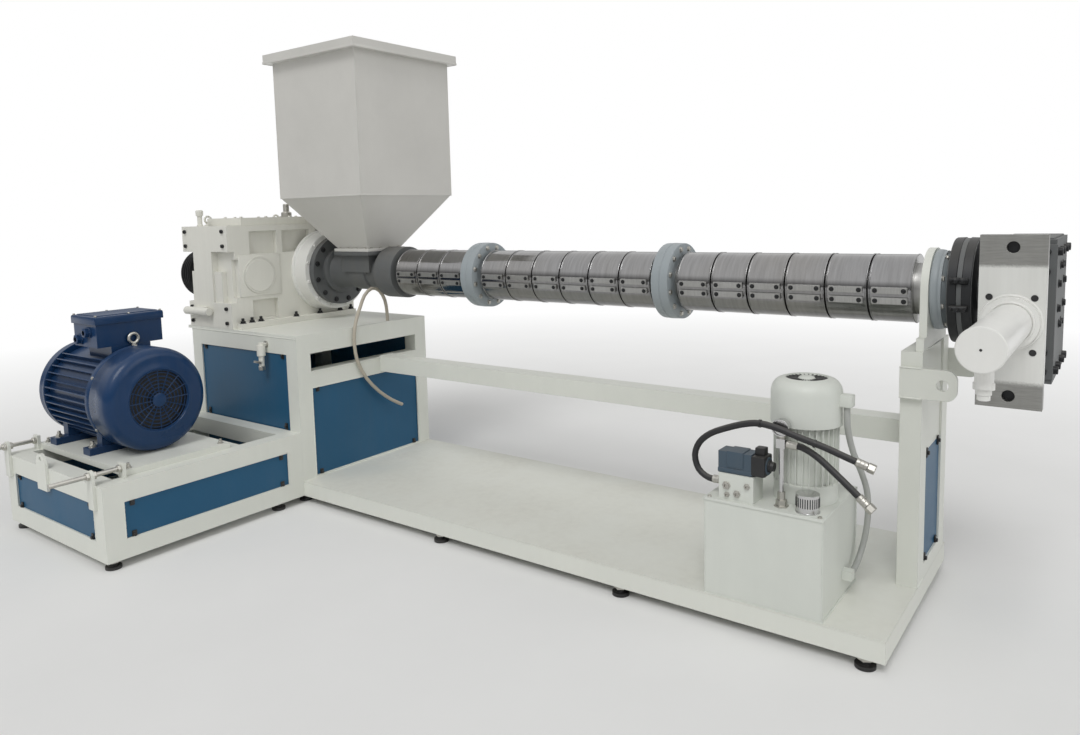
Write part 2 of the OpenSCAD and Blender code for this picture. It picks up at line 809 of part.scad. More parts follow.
module pump_motor() color(cream) {
    rod_z(pump_cx, pump_cy, tank_top, pump_flange_h, pump_flange_d);
    rod_z(pump_cx, pump_cy, tank_top + pump_flange_h - eps, pump_body_h + eps, pump_core_d);
    fin_low = 6;
    translate([pump_cx, pump_cy, tank_top + pump_flange_h + fin_low]) for (a = [6:12:354]) {
        rotate([0, 0, a]) translate([pump_core_d / 2 - 6, -2, 0]) cube([20, 4, pump_body_h - 2 * fin_low]);
    }
}

module pump_motor_cover() color(cream) {
    rod_z(pump_cx, pump_cy, tank_top + pump_flange_h + pump_body_h, pump_cover_h, pump_cover_d);
    block(gland_x, gland_y, gland_z, gland_l, gland_l, gland_l);
}

module valve_manifold() color(cream) {
    block(tank_x + 50, tank_y + 14, tank_top, manifold_l, manifold_d, manifold_h);
}

module solenoid_valve() color([0.35, 0.45, 0.55]) {
    z = tank_top + manifold_h;
    block(tank_x + 46, tank_y + 20, z, manifold_l - 6, manifold_d - 20, valve_h);
    rod_x(tank_x + 40 + manifold_l - eps, tank_y + 20 + (manifold_d - 20) / 2, z + valve_h / 2,
        coil_l + eps, valve_h * 0.8);
}

module pressure_gauge() color(steel) {
    x = tank_x + 270;
    y = tank_y + 52;
    tee = 32;
    block(x - tee / 2, y - 14, tank_top + 214, tee, 28, 34);
    rod_z(x, y, tank_top, gauge_h - gauge_d / 2 + eps, gauge_pipe_d);
    rod_y(x, y - 16, tank_top + gauge_h, 32, gauge_d);
}

module filler_cap() color("gray") {
    rod_z(tank_x + 364, tank_y + 50, tank_top, filler_h, filler_d);
}

module motor_base() color(cream) {
    z = motor_top + run_gap;
    block(base_x0, base_y0, z, base_l, base_d, base_t);
    for (x = [base_x0, base_x1]) {
        block(x - lug_w / 2, base_y0 - lug_t, z, lug_w, lug_t, screw_z + lug_w / 2);
    }
}

module motor_feet() {
    z = motor_top + run_gap + base_t;
    for (x = [cowl_back - 90, body_back + 20]) {
        block(x, -motor_y - 245, z, 70, 490, 34);
        for (s = [-1, 1]) {
            block(x + 10, -motor_y + s * 150 - 30, z, 50, 60, shaft_h * 0.55);
        }
    }
}

module motor_housing() color(motor_blue) {
    difference() {
        union() {
            rod_x(body_back, -motor_y, shaft_z, motor_body_l + 30, motor_core_d);
            rod_x(shield_back + 40, -motor_y, shaft_z, shield_l - 40 + eps, motor_core_d + 2 * fin_h);
            rod_x(shield_back, -motor_y, shaft_z, shield_l, motor_core_d * 0.6);
            motor_fins();
            motor_feet();
            block(cowl_back - term_gap - term_l, -motor_y - term_d * 0.3, shaft_z + motor_core_d / 2 - 30,
                term_l, term_d * 0.6, fin_h + 42);
        }
        rod_x(shield_back - 1, -motor_y, shaft_z, shield_l + motor_body_l + 40, motor_shaft_d + bore_gap);
    }
}

module motor_fins() {
    translate([body_back, -motor_y, shaft_z]) for (a = [0:fin_step:359]) {
        if (a < 60 || a > 120) {
            rotate([a, 0, 0]) translate([0, motor_core_d / 2 - 6, -fin_t / 2]) {
                cube([motor_body_l, fin_h + 6, fin_t]);
            }
        }
    }
}

module motor_terminal_box() color(motor_blue) {
    z = shaft_z + motor_core_d / 2 + fin_h + 12;
    block(cowl_back - term_gap - term_l, -motor_y - term_d / 2, z, term_l, term_d, term_h);
    block(cowl_back - term_gap - term_l - 8, -motor_y - term_d / 2 - 8, z + term_h - 36, term_l + 16,
        term_d + 16, 30);
}

module motor_fan_cowl() color(motor_blue) {
    bars = 3;
    difference() {
        rod_x(cowl_back, -motor_y, shaft_z, cowl_l, cowl_d);
        rod_x(cowl_back - 1, -motor_y, shaft_z, cowl_l - cowl_t + 1, cowl_d - 2 * cowl_t);
        rod_x(cowl_back, -motor_y, shaft_z, cowl_l + 1, guard_d);
    }
    for (i = [0:bars]) {
        d = guard_d - i * guard_d * 0.22;
        ring_x(-cowl_x - cowl_t, -motor_y, shaft_z, cowl_t, d + 8, d - 8);
    }
    for (a = [0:45:135]) {
        translate([-cowl_x - cowl_t, -motor_y, shaft_z]) rotate([a, 0, 0]) {
            translate([0, -guard_d / 2, -4]) cube([cowl_t, guard_d, 8]);
        }
    }
}

module draw_screws() color(steel) {
    y0 = -motor_stand_d - screw_out;
    for (x = [base_x0, base_x1]) rod_y(x, y0, screw_h, base_y0 - lug_t - y0, screw_d);
}

// A point of the smooth curve through a route's points, part t of the way after point i
function on_curve(route, i, t) = let (
    last = len(route) - 1,
    a = route[max(i - 1, 0)],
    b = route[i],
    c = route[min(i + 1, last)],
    d = route[min(i + 2, last)]
) (2 * b + (c - a) * t + (2 * a - 5 * b + 4 * c - d) * t * t + (3 * b - 3 * c + d - a) * t * t * t) / 2;

function smooth(route, steps) = concat(
    [for (i = [0:len(route) - 2], k = [0:steps - 1]) on_curve(route, i, k / steps)],
    [route[len(route) - 1]]
);

function unit(v) = v / norm(v);

// One ring of points around the curve's point i, square to the way that the hose runs there
function hose_ring(line, i, r, side_axis) = let (
    last = len(line) - 1,
    along = unit(line[min(i + 1, last)] - line[max(i - 1, 0)]),
    u = unit(cross(along, side_axis)),
    v = cross(along, u)
) [for (k = [0:hose_sides - 1]) line[i] + r * (cos(k * 360 / hose_sides) * u + sin(k * 360 / hose_sides) * v)];

module hose(route, steps, dia, side_axis) {
    line = smooth(route, steps);
    n = len(line);
    m = hose_sides;
    rings = [for (i = [0:n - 1]) each hose_ring(line, i, dia / 2, side_axis)];
    sides = [for (i = [0:n - 2], k = [0:m - 1]) [
        i * m + k, i * m + (k + 1) % m, (i + 1) * m + (k + 1) % m, (i + 1) * m + k
    ]];
    near_end = [[for (k = [m - 1:-1:0]) k]];
    far_end = [[for (k = [0:m - 1]) (n - 1) * m + k]];
    polyhedron(concat(rings), concat(sides, near_end, far_end));
}

module pressure_hose() color("dimgray") hose(pressure_route, 1, hydraulic_hose_d, [0, 1, 0]);

module return_hose() color("dimgray") hose(return_route, 2, hydraulic_hose_d, [0, 1, 0]);

module level_hose() color("gray") hose(level_route, 2, level_hose_d, [1, 0, 0]);

module water_hose() color("tan") hose(water_route, 2, water_hose_d, [1, 0, 0]);

module motor_rotor() color(steel) {
    fan_x = cowl_back + 60;
    seat_l = motor_shaft_l - 10;
    rod_x(shaft_end, -motor_y, shaft_z, seat_l, motor_shaft_d);
    rod_x(shaft_end + seat_l - eps, -motor_y, shaft_z, fan_x + 60 - shaft_end - seat_l + eps,
        motor_shaft_d - 3);
    rod_x(fan_x, -motor_y, shaft_z, 8, fan_d);
    translate([fan_x + 8 - eps, -motor_y, shaft_z]) for (a = [0:45:315]) {
        rotate([a, 0, 0]) translate([0, motor_shaft_d / 2, -3]) cube([70, (fan_d - motor_shaft_d) / 2, 6]);
    }
}

translate(shift) {
    levelling_feet();
    motor_stand_frame();
    draw_screw_lugs();
    gearbox_stand_frame();
    stand_panels();
    platform_frame();
    platform_deck();
    tie_beam();
    end_frame();
    end_panel();
    hinge_brackets();
    barrel_support();
    gearbox_housing();
    gearbox_covers();
    thrust_housing();
    oil_fittings();
    input_pulley();
    feed_flange();
    feed_section();
    hopper_cone();
    hopper_body();
    hopper_lid();
    barrel();
    joint_flanges();
    rear_heaters();
    middle_heaters();
    front_heaters();
    end_flange();
    heated_adapter();
    screen_changer();
    changer_slide();
    cylinder_plate();
    tie_bars();
    hydraulic_cylinder();
    oil_tank();
    tank_lid();
    pump_motor();
    pump_motor_cover();
    valve_manifold();
    solenoid_valve();
    pressure_gauge();
    filler_cap();
    motor_base();
    motor_housing();
    motor_terminal_box();
    motor_fan_cowl();
    draw_screws();
    motor_rotor();
    pressure_hose();
    return_hose();
    level_hose();
    water_hose();
}
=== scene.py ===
# %% [markdown]
# # A plastic extruder on its welded stands
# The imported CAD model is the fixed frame. This lesson gives it the paint, steel and rubber of the
# real machine, and adds the bolts, clamps, grilles, welds and hoses that make it look built.
# Places are written in the drawing's millimetres, with X = 0 at the gearbox stand's edge,
# Y = 0 at the platform's front and Z = 0 on the floor.

# %% The fixed frame
import math
import bmesh
import bpy
from mathutils import Matrix, Vector


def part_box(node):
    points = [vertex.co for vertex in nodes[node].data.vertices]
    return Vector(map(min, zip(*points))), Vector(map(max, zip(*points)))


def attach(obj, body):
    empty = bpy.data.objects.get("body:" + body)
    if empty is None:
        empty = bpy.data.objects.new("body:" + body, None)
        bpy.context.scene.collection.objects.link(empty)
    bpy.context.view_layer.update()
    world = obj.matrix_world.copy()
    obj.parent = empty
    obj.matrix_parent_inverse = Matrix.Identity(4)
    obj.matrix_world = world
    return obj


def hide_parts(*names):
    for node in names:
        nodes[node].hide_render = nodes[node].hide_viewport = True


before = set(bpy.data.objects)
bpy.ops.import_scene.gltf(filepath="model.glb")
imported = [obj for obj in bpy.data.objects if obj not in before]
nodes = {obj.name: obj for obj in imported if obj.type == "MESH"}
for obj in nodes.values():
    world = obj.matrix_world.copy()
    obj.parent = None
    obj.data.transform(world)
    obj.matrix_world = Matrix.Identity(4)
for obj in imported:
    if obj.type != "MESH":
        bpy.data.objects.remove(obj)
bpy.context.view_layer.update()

MM = 0.001
DRAWING_TO_FRAME = Vector((-1122.5, 79.5, 0.0))


def at(x, y, z):
    """A place of the drawing, in millimetres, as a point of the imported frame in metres."""
    return (Vector((x, y, z)) + DRAWING_TO_FRAME) * MM

# %% [markdown]
# ## The photograph's camera
# The photograph was taken about 1.5 m above the floor, before the outlet end, looking along the
# machine. A camera could be placed by eye. This one was worked out from the corners of the stands,
# so that each piece can be set against the photograph.

# %% Camera
CAMERA_PLACE = (2.4918, -2.5977, 1.5404)
CAMERA_RIGHT = Vector((0.80489, 0.59291, -0.02463))
CAMERA_UP = Vector((-0.04318, 0.09991, 0.99406))
CAMERA_BACK = Vector((0.59184, -0.79905, 0.10602))

camera_data = bpy.data.cameras.new("photo_camera")
camera_data.sensor_width = 36.0
camera_data.lens = 27.112
camera_data.shift_y = -0.0626
camera_data.clip_end = 80.0
camera = bpy.data.objects.new("photo_camera", camera_data)
bpy.context.scene.collection.objects.link(camera)
axes = Matrix((CAMERA_RIGHT, CAMERA_UP, CAMERA_BACK)).transposed().to_4x4()
camera.matrix_world = Matrix.Translation(CAMERA_PLACE) @ axes
bpy.context.scene.camera = camera
print("The camera stands", round(CAMERA_PLACE[2], 2), "m above the floor")

# %% [markdown]
# ## Short ways to build a node tree
# A finish needs dozens of nodes. They could be added and linked one by one, but with a few helpers
# each node is one short line, and the recipe of a finish reads from top to bottom.

# %% Node helpers
def wire(tree, kind, inputs=None, **settings):
    """Adds a node, sets its settings, and links or sets its inputs."""
    node = tree.nodes.new(kind)
    for key, value in settings.items():
        setattr(node, key, value)
    for key, value in (inputs or {}).items():
        if isinstance(value, bpy.types.NodeSocket):
            tree.links.new(value, node.inputs[key])
        else:
            node.inputs[key].default_value = value
    return node


def math_node(tree, operation, a, b=0.5, clamp=False):
    return wire(tree, "ShaderNodeMath", {0: a, 1: b}, operation=operation, use_clamp=clamp).outputs[0]


def ramp(tree, value, low, high):
    """The value stretched so that low becomes 0 and high becomes 1."""
    return wire(tree, "ShaderNodeMapRange",
                {"Value": value, "From Min": low, "From Max": high}).outputs[0]


def times(tree, a, b, clamp=False):
    return math_node(tree, "MULTIPLY", a, b, clamp)


def mix_colour(tree, factor, a, b):
    return wire(tree, "ShaderNodeMix", {0: factor, 6: a, 7: b}, data_type="RGBA").outputs[2]

# %% [markdown]
# ## One group for wear and dirt
# Paint wears at its edges, dust settles on what faces up, and dirt runs down. Every material could
# hold its own copy of these masks. One node group is built once instead, and each finish sets its
# grain and its edge radius. It also rounds sharp sheet edges in the shading.

# %% Surface ageing group
def ageing_group():
    group = bpy.data.node_groups.new("surface_ageing", "ShaderNodeTree")
    face = group.interface
    for name, value in (("Grain Scale", 180.0), ("Edge Radius", 0.003)):
        face.new_socket(name, in_out="INPUT", socket_type="NodeSocketFloat").default_value = value
    for name in ("Edge", "Blotch", "Fine", "Dust", "Streak"):
        face.new_socket(name, in_out="OUTPUT", socket_type="NodeSocketFloat")
    face.new_socket("Round Normal", in_out="OUTPUT", socket_type="NodeSocketVector")
    given = group.nodes.new("NodeGroupInput")
    place = wire(group, "ShaderNodeTexCoord").outputs["Object"]
    shape = wire(group, "ShaderNodeNewGeometry")
    blotch = wire(group, "ShaderNodeTexNoise",
                  {"Vector": place, "Scale": 2.6, "Detail": 6.0, "Roughness": 0.6}).outputs[0]
    fine = wire(group, "ShaderNodeTexNoise",
                {"Vector": place, "Scale": given.outputs["Grain Scale"], "Detail": 2.0}).outputs[0]
    speckle = wire(group, "ShaderNodeTexNoise",
                   {"Vector": place, "Scale": 34.0, "Detail": 7.0, "Roughness": 0.7}).outputs[0]
    tall = wire(group, "ShaderNodeMapping", {"Vector": place, "Scale": (9.0, 9.0, 0.7)}).outputs[0]
    streak = wire(group, "ShaderNodeTexNoise",
                  {"Vector": tall, "Scale": 3.0, "Detail": 5.0, "Roughness": 0.55}).outputs[0]
    rounded = wire(group, "ShaderNodeBevel", {"Radius": given.outputs["Edge Radius"]}, samples=4)
    dot = wire(group, "ShaderNodeVectorMath",
               {0: rounded.outputs[0], 1: shape.outputs["Normal"]}, operation="DOT_PRODUCT")
    bent = math_node(group, "SUBTRACT", 1.0, dot.outputs["Value"])
    edge = times(group, ramp(group, bent, 0.01, 0.16), ramp(group, speckle, 0.46, 0.62))
    upward = wire(group, "ShaderNodeSeparateXYZ", {0: shape.outputs["Normal"]}).outputs[2]
    height = wire(group, "ShaderNodeSeparateXYZ", {0: place}).outputs[2]
    flat = ramp(group, upward, 0.35, 0.95)
    low = ramp(group, height, 0.55, 0.0)
    settled = math_node(group, "MAXIMUM", times(group, flat, 0.8),
                        times(group, low, 0.45))
    dust = times(group, settled, ramp(group, blotch, 0.32, 0.72))
    given_out = group.nodes.new("NodeGroupOutput")
    results = (edge, ramp(group, blotch, 0.3, 0.7), fine, dust, ramp(group, streak, 0.35, 0.7),
               rounded.outputs[0])
    for name, socket in zip(("Edge", "Blotch", "Fine", "Dust", "Streak", "Round Normal"), results):
        group.links.new(socket, given_out.inputs[name])
    return group


AGEING = ageing_group()
print("The ageing group has", len(AGEING.nodes), "nodes")

# %% [markdown]
# ## What all finishes share
# All finishes use the plain Principled surface. These helpers start it, place the ageing group in
# it, and set roughness and bump in one way, so that the finishes differ only in their values.

# %% Start of a finish
WARM_DUST = (0.50, 0.47, 0.41, 1.0)
GRIME = (0.16, 0.14, 0.11, 1.0)
PRIMER = (0.30, 0.29, 0.28, 1.0)


def start_finish(name, grain, edge_radius):
    material = bpy.data.materials.new(name)
    material.use_nodes = True
    tree = material.node_tree
    surface = tree.nodes["Principled BSDF"]
    ageing = tree.nodes.new("ShaderNodeGroup")
    ageing.node_tree = AGEING
    ageing.inputs["Grain Scale"].default_value = grain
    ageing.inputs["Edge Radius"].default_value = edge_radius
    return material, tree, surface, ageing.outputs


def add_share(tree, base, mask, share):
    """A value that grows by a share of a mask, kept between 0 and 1."""
    return math_node(tree, "ADD", base, times(tree, mask, share), True)


def bump_finish(tree, surface, aged, height, strength, distance):
    bump = wire(tree, "ShaderNodeBump", {"Height": height, "Normal": aged["Round Normal"],
                                         "Strength": strength, "Distance": distance})
    tree.links.new(bump.outputs[0], surface.inputs["Normal"])


def shade(colour, factor):
    return tuple(min(1.0, c * factor) for c in colour[:3]) + (1.0,)

# %% [markdown]
# ## Sprayed enamel
# Stands, hopper, motor and tank are sprayed with enamel. A flat colour would look like plastic.
# Orange peel, soft blotches, grime, primer at worn edges and a little dust make it read as paint
# over steel.

# %% Enamel
def enamel(name, colour, roughness=0.42, grime=0.10, wear=0.35, dust=0.35, coat=0.0, peel=0.10,
           grain=190.0, radius=0.0025, gloss=0.5):
    """Sprayed or brushed enamel over steel, with orange peel, soft blotches and worn edges."""
    material, tree, surface, aged = start_finish(name, grain, radius)
    base = mix_colour(tree, aged["Blotch"], shade(colour, 0.95), shade(colour, 1.03))
    dirt = times(tree, aged["Streak"], times(tree, aged["Blotch"], grime))
    base = mix_colour(tree, dirt, base, GRIME)
    base = mix_colour(tree, times(tree, aged["Edge"], wear), base, PRIMER)
    base = mix_colour(tree, times(tree, aged["Dust"], dust), base, WARM_DUST)
    tree.links.new(base, surface.inputs["Base Color"])
    rough = add_share(tree, add_share(tree, roughness, aged["Dust"], 0.3), aged["Blotch"], 0.08)
    tree.links.new(rough, surface.inputs["Roughness"])
    surface.inputs["Coat Weight"].default_value = coat
    surface.inputs["Coat Roughness"].default_value = 0.12
    surface.inputs["Specular IOR Level"].default_value = gloss
    bump_finish(tree, surface, aged, aged["Fine"], peel, 0.0008)
    return material

# %% [markdown]
# ## Machined, plated and polished metal
# Bolts, shafts, heater bands and plates show bare metal. Their tool marks are finer than any mesh
# could be, so a stretched noise gives them to the colour, the roughness and the bump together.

# %% Bare metal
def bare_metal(name, colour, roughness, lines=(1.0, 1.0, 1.0), line_bump=0.05, stain=0.25,
               stain_colour=GRIME, radius=0.0015):
    """Machined, plated or brushed metal. lines stretches the tool marks across one axis."""
    material, tree, surface, aged = start_finish(name, 260.0, radius)
    place = wire(tree, "ShaderNodeTexCoord").outputs["Object"]
    stretched = wire(tree, "ShaderNodeMapping", {"Vector": place, "Scale": lines}).outputs[0]
    marks = wire(tree, "ShaderNodeTexNoise",
                 {"Vector": stretched, "Scale": 5.0, "Detail": 4.0, "Roughness": 0.65}).outputs[0]
    base = mix_colour(tree, ramp(tree, marks, 0.3, 0.7), shade(colour, 0.84), shade(colour, 1.08))
    base = mix_colour(tree, times(tree, aged["Blotch"], stain), base, stain_colour)
    tree.links.new(base, surface.inputs["Base Color"])
    surface.inputs["Metallic"].default_value = 1.0
    rough = add_share(tree, add_share(tree, roughness, marks, 0.12), aged["Blotch"], 0.10)
    tree.links.new(rough, surface.inputs["Roughness"])
    bump_finish(tree, surface, aged, marks, line_bump, 0.001)
    return material

# %% [markdown]
# ## Rubber and plastic
# Hoses, clips and covers are moulded. They are dark and even, with a fine grain and a little dust,
# which is simpler than paint. Blackened bolts use the same maker, with some metal in it.

# %% Rubber and plastic
def soft(name, colour, roughness, dust=0.3, grain=420.0, bump_strength=0.15, metallic=0.0):
    """Rubber or plastic, slightly dusty, with a fine moulded grain."""
    material, tree, surface, aged = start_finish(name, grain, 0.001)
    base = mix_colour(tree, aged["Blotch"], shade(colour, 0.85), shade(colour, 1.12))
    base = mix_colour(tree, times(tree, aged["Dust"], dust), base, WARM_DUST)
    tree.links.new(base, surface.inputs["Base Color"])
    surface.inputs["Metallic"].default_value = metallic
    tree.links.new(add_share(tree, roughness, aged["Blotch"], 0.15), surface.inputs["Roughness"])
    bump_finish(tree, surface, aged, aged["Fine"], bump_strength, 0.0006)
    return material

# %% [markdown]
# ## The machine's paints and metals
# Each paint and metal is one line here. The stands are off-white, the panels and the motor blue,
# the castings cream and the heater bands polished steel. The blues mirror little, as in the
# photograph's darker hall.

# %% The machine's finishes
frame_white = enamel("frame_white", (0.76, 0.775, 0.715), 0.36, grime=0.04, wear=0.25, dust=0.22)
deck_white = enamel("deck_white", (0.74, 0.75, 0.69), 0.40, grime=0.10, wear=0.30, dust=0.30)
panel_blue = enamel("panel_blue", (0.017, 0.098, 0.195), 0.34, grime=0.06, wear=0.2, dust=0.06, coat=0.05,
                    gloss=0.25)
hopper_white = enamel("hopper_white", (0.64, 0.63, 0.595), 0.34, grime=0.015, wear=0.12, dust=0.10,
                      coat=0.15)
cast_cream = enamel("cast_cream", (0.78, 0.775, 0.71), 0.42, grime=0.07, wear=0.25, dust=0.22,
                    peel=0.45, grain=70.0, radius=0.005)
housing_white = enamel("housing_white", (0.82, 0.82, 0.79), 0.32, grime=0.04, wear=0.12, dust=0.15,
                       coat=0.2)
motor_blue = enamel("motor_blue", (0.004, 0.034, 0.105), 0.26, grime=0.08, wear=0.12, dust=0.05,
                    coat=0.15, peel=0.25, grain=90.0, gloss=0.25)
cast_grey = enamel("cast_grey", (0.105, 0.112, 0.115), 0.50, grime=0.25, wear=0.5, dust=0.25, peel=0.4,
                   grain=110.0)
flange_grey = enamel("flange_grey", (0.33, 0.37, 0.39), 0.38, grime=0.20, wear=0.4, dust=0.2)
tank_white = enamel("tank_white", (0.68, 0.705, 0.655), 0.34, grime=0.04, wear=0.22, dust=0.16)
valve_grey = enamel("valve_grey", (0.050, 0.082, 0.115), 0.40, grime=0.12, wear=0.3, dust=0.2)

heater_steel = bare_metal("heater_steel", (0.29, 0.29, 0.295), 0.02, lines=(14.0, 1.2, 1.2),
                          line_bump=0.003, stain=0.18,
                          stain_colour=(0.30, 0.26, 0.20, 1.0), radius=0.002)
turned_steel = bare_metal("turned_steel", (0.46, 0.46, 0.45), 0.30, lines=(60.0, 3.0, 3.0), stain=0.3)
plate_steel = bare_metal("plate_steel", (0.52, 0.52, 0.50), 0.34, lines=(3.0, 40.0, 3.0), stain=0.2)
zinc = bare_metal("zinc", (0.58, 0.57, 0.53), 0.28, stain=0.25)
chrome = bare_metal("chrome", (0.66, 0.66, 0.66), 0.10, stain=0.08)
black_steel = soft("black_steel", (0.030, 0.031, 0.033), 0.42, dust=0.2, grain=160.0, metallic=0.6)

black_rubber = soft("black_rubber", (0.018, 0.018, 0.020), 0.48, dust=0.25)
grey_conduit = soft("grey_conduit", (0.40, 0.41, 0.39), 0.40, dust=0.2)
beige_rubber = soft("beige_rubber", (0.44, 0.40, 0.33), 0.50, dust=0.2)
black_plastic = soft("black_plastic", (0.016, 0.016, 0.017), 0.38, dust=0.15)
dial_white = soft("dial_white", (0.78, 0.78, 0.75), 0.5, dust=0.0)
print("There are", len(bpy.data.materials), "materials so far")

# %% [markdown]
# ## A plate that is painted in part
# The cylinder's plate is painted across its middle, and its top and bottom are bare. Two pieces
# would show a false seam, so one finish changes with the height, along a brushed edge.

# %% Half painted plate
PAINT_LOW = 0.985
PAINT_HIGH = 1.344


def half_painted():
    material, tree, surface, aged = start_finish("half_painted_plate", 200.0, 0.003)
    place = wire(tree, "ShaderNodeTexCoord").outputs["Object"]
    height = wire(tree, "ShaderNodeSeparateXYZ", {0: place}).outputs[2]
    wobble = times(tree, aged["Fine"], 0.010)
    height = math_node(tree, "ADD", height, wobble)
    over = ramp(tree, height, PAINT_HIGH + 0.012, PAINT_HIGH)
    under = ramp(tree, height, PAINT_LOW, PAINT_LOW + 0.014)
    paint = times(tree, over, under, True)
    lines = wire(tree, "ShaderNodeMapping", {"Vector": place, "Scale": (4.0, 4.0, 60.0)}).outputs[0]
    marks = wire(tree, "ShaderNodeTexNoise", {"Vector": lines, "Scale": 6.0, "Detail": 4.0}).outputs[0]
    steel = mix_colour(tree, marks, (0.24, 0.24, 0.23, 1.0), (0.40, 0.40, 0.38, 1.0))
    white = mix_colour(tree, aged["Blotch"], (0.72, 0.73, 0.70, 1.0), (0.80, 0.80, 0.77, 1.0))
    base = mix_colour(tree, paint, steel, white)
    base = mix_colour(tree, times(tree, aged["Streak"], 0.12), base, GRIME)
    tree.links.new(base, surface.inputs["Base Color"])
    bare = math_node(tree, "SUBTRACT", 1.0, paint)
    tree.links.new(times(tree, bare, 0.9), surface.inputs["Metallic"])
    tree.links.new(add_share(tree, 0.32, marks, 0.14), surface.inputs["Roughness"])
    bump_finish(tree, surface, aged, marks, 0.06, 0.001)
    return material


plate_finish = half_painted()

# %% [markdown]
# ## Finishes on the fixed frame
# The CAD nodes keep their meshes and only get a finish here. A list for each finish shows at a
# glance which nodes are painted alike.

# %% Finishes on the CAD solids
FINISHES = {
    frame_white: ("motor_stand_frame", "draw_screw_lugs", "gearbox_stand_frame", "platform_frame",
                  "tie_beam", "end_frame", "hinge_brackets", "barrel_support", "motor_base"),
    deck_white: ("platform_deck",),
    panel_blue: ("stand_panels", "end_panel"),
    cast_cream: ("gearbox_housing", "gearbox_covers", "oil_fittings"),
    housing_white: ("thrust_housing", "hydraulic_cylinder"),
    hopper_white: ("hopper_cone", "hopper_body", "hopper_lid"),
    motor_blue: ("motor_housing", "motor_terminal_box", "motor_fan_cowl"),
    cast_grey: ("feed_flange", "feed_section", "heated_adapter", "screen_changer"),
    flange_grey: ("joint_flanges", "end_flange"),
    heater_steel: ("rear_heaters", "middle_heaters", "front_heaters"),
    turned_steel: ("barrel", "motor_rotor"),
    plate_steel: ("changer_slide",),
    plate_finish: ("cylinder_plate",),
    tank_white: ("oil_tank", "tank_lid", "pump_motor", "pump_motor_cover", "valve_manifold"),
    valve_grey: ("solenoid_valve",),
    zinc: ("draw_screws",),
    chrome: ("pressure_gauge", "filler_cap"),
    black_steel: ("input_pulley", "tie_bars", "levelling_feet"),
}
for finish, names in FINISHES.items():
    for name in names:
        mesh = nodes[name].data
        mesh.materials.clear()
        mesh.materials.append(finish)
print(len(FINISHES), "finishes lie on", sum(len(names) for names in FINISHES.values()), "CAD nodes")

# %% [markdown]
# ## Blocks with broken edges
# Plates, lids and blocks are never quite sharp. A Bevel modifier could break their edges later.
# Here each box gets its chamfer as it is made, because many boxes are joined into one mesh.

# %% Blocks
X_AXIS, Y_AXIS, Z_AXIS = Vector((1, 0, 0)), Vector((0, 1, 0)), Vector((0, 0, 1))


def across(axis):
    """Two directions square to an axis."""
    axis = axis.normalized()
    side = Z_AXIS if abs(axis.z) < 0.9 else X_AXIS
    first = axis.cross(side).normalized()
    return first, axis.cross(first)


def round_way(first, second, angle):
    """The direction that lies an angle away from first, turned towards second."""
    return first * math.cos(angle) + second * math.sin(angle)


def add_box(bm, matrix, chamfer, profile=0.0):
    """A unit box set by a matrix. A profile of 0 steps its edges, and one over 0.5 rounds them."""
    corners = bmesh.ops.create_cube(bm, size=1.0, matrix=matrix)["verts"]
    bmesh.ops.bevel(bm, geom=list({e for v in corners for e in v.link_edges}), offset=chamfer,
                    segments=2, profile=profile, affect="EDGES")


def add_block(bm, low, high, chamfer=1.5):
    """A block between two corners of the drawing, with rounded edges."""
    a, b = at(*low), at(*high)
    size = b - a
    matrix = Matrix.Translation((a + b) / 2) @ Matrix.Diagonal((*size, 1.0))
    add_box(bm, matrix, min(chamfer * MM, min(size) * 0.3), 0.6)

# %% [markdown]
# ## Turned parts, rods and rings
# Flanges, covers and fittings come from a lathe, so their shape is a profile turned around an axis.
# A Screw modifier could do that too, but a loop that joins rings of points puts many of them in one
# mesh, at any place and angle.

# %% Turned parts
def add_turned(bm, start, axis, profile, segments=48):
    """A turned part. Each profile point is a distance along the axis and a radius, in mm."""
    first, second = across(axis)
    axis = axis.normalized()
    rings = []
    for along, radius in profile:
        middle = start + axis * along * MM
        if radius <= 0:
            rings.append([bm.verts.new(middle)])
            continue
        ring = []
        for k in range(segments):
            out = round_way(first, second, math.tau * k / segments)
            ring.append(bm.verts.new(middle + out * radius * MM))
        rings.append(ring)
    for a, b in zip(rings, rings[1:]):
        for k in range(segments):
            m = (k + 1) % segments
            if len(a) == 1 and len(b) == 1:
                break
            if len(a) == 1:
                bm.faces.new((a[0], b[k], b[m]))
            elif len(b) == 1:
                bm.faces.new((a[k], b[0], a[m]))
            else:
                bm.faces.new((a[k], b[k], b[m], a[m]))


# %% [markdown]
# ## Rods and rings
# A rod is a turned part between two points, and a ring is one whose profile is a small circle.
# Eyes, collars and guard wires are made of them, with as many sides as their size needs.

# %% Rods and rings
def add_rod(bm, start, end, radius, chamfer=1.0, segments=24):
    length = (end - start).length / MM
    c = min(chamfer, length / 3, radius / 3)
    add_turned(bm, start, end - start,
               [(0, 0), (0, radius - c), (c, radius), (length - c, radius), (length, radius - c),
                (length, 0)], segments)


def add_ring(bm, centre, axis, radius, thick, segments=48, sides=10):
    """A round ring, such as an eye, a rolled edge or a weld around a collar."""
    profile = []
    for k in range(sides + 1):
        angle = math.tau * k / sides
        profile.append((thick * math.sin(angle), radius + thick * math.cos(angle)))
    add_turned(bm, centre, axis, profile, segments)

# %% [markdown]
# ## Weld beads
# The frames are welded, and each bead has small ripples. A texture can't change the outline of a
# joint, so a bead is a thin turned part whose radius ripples along its length.

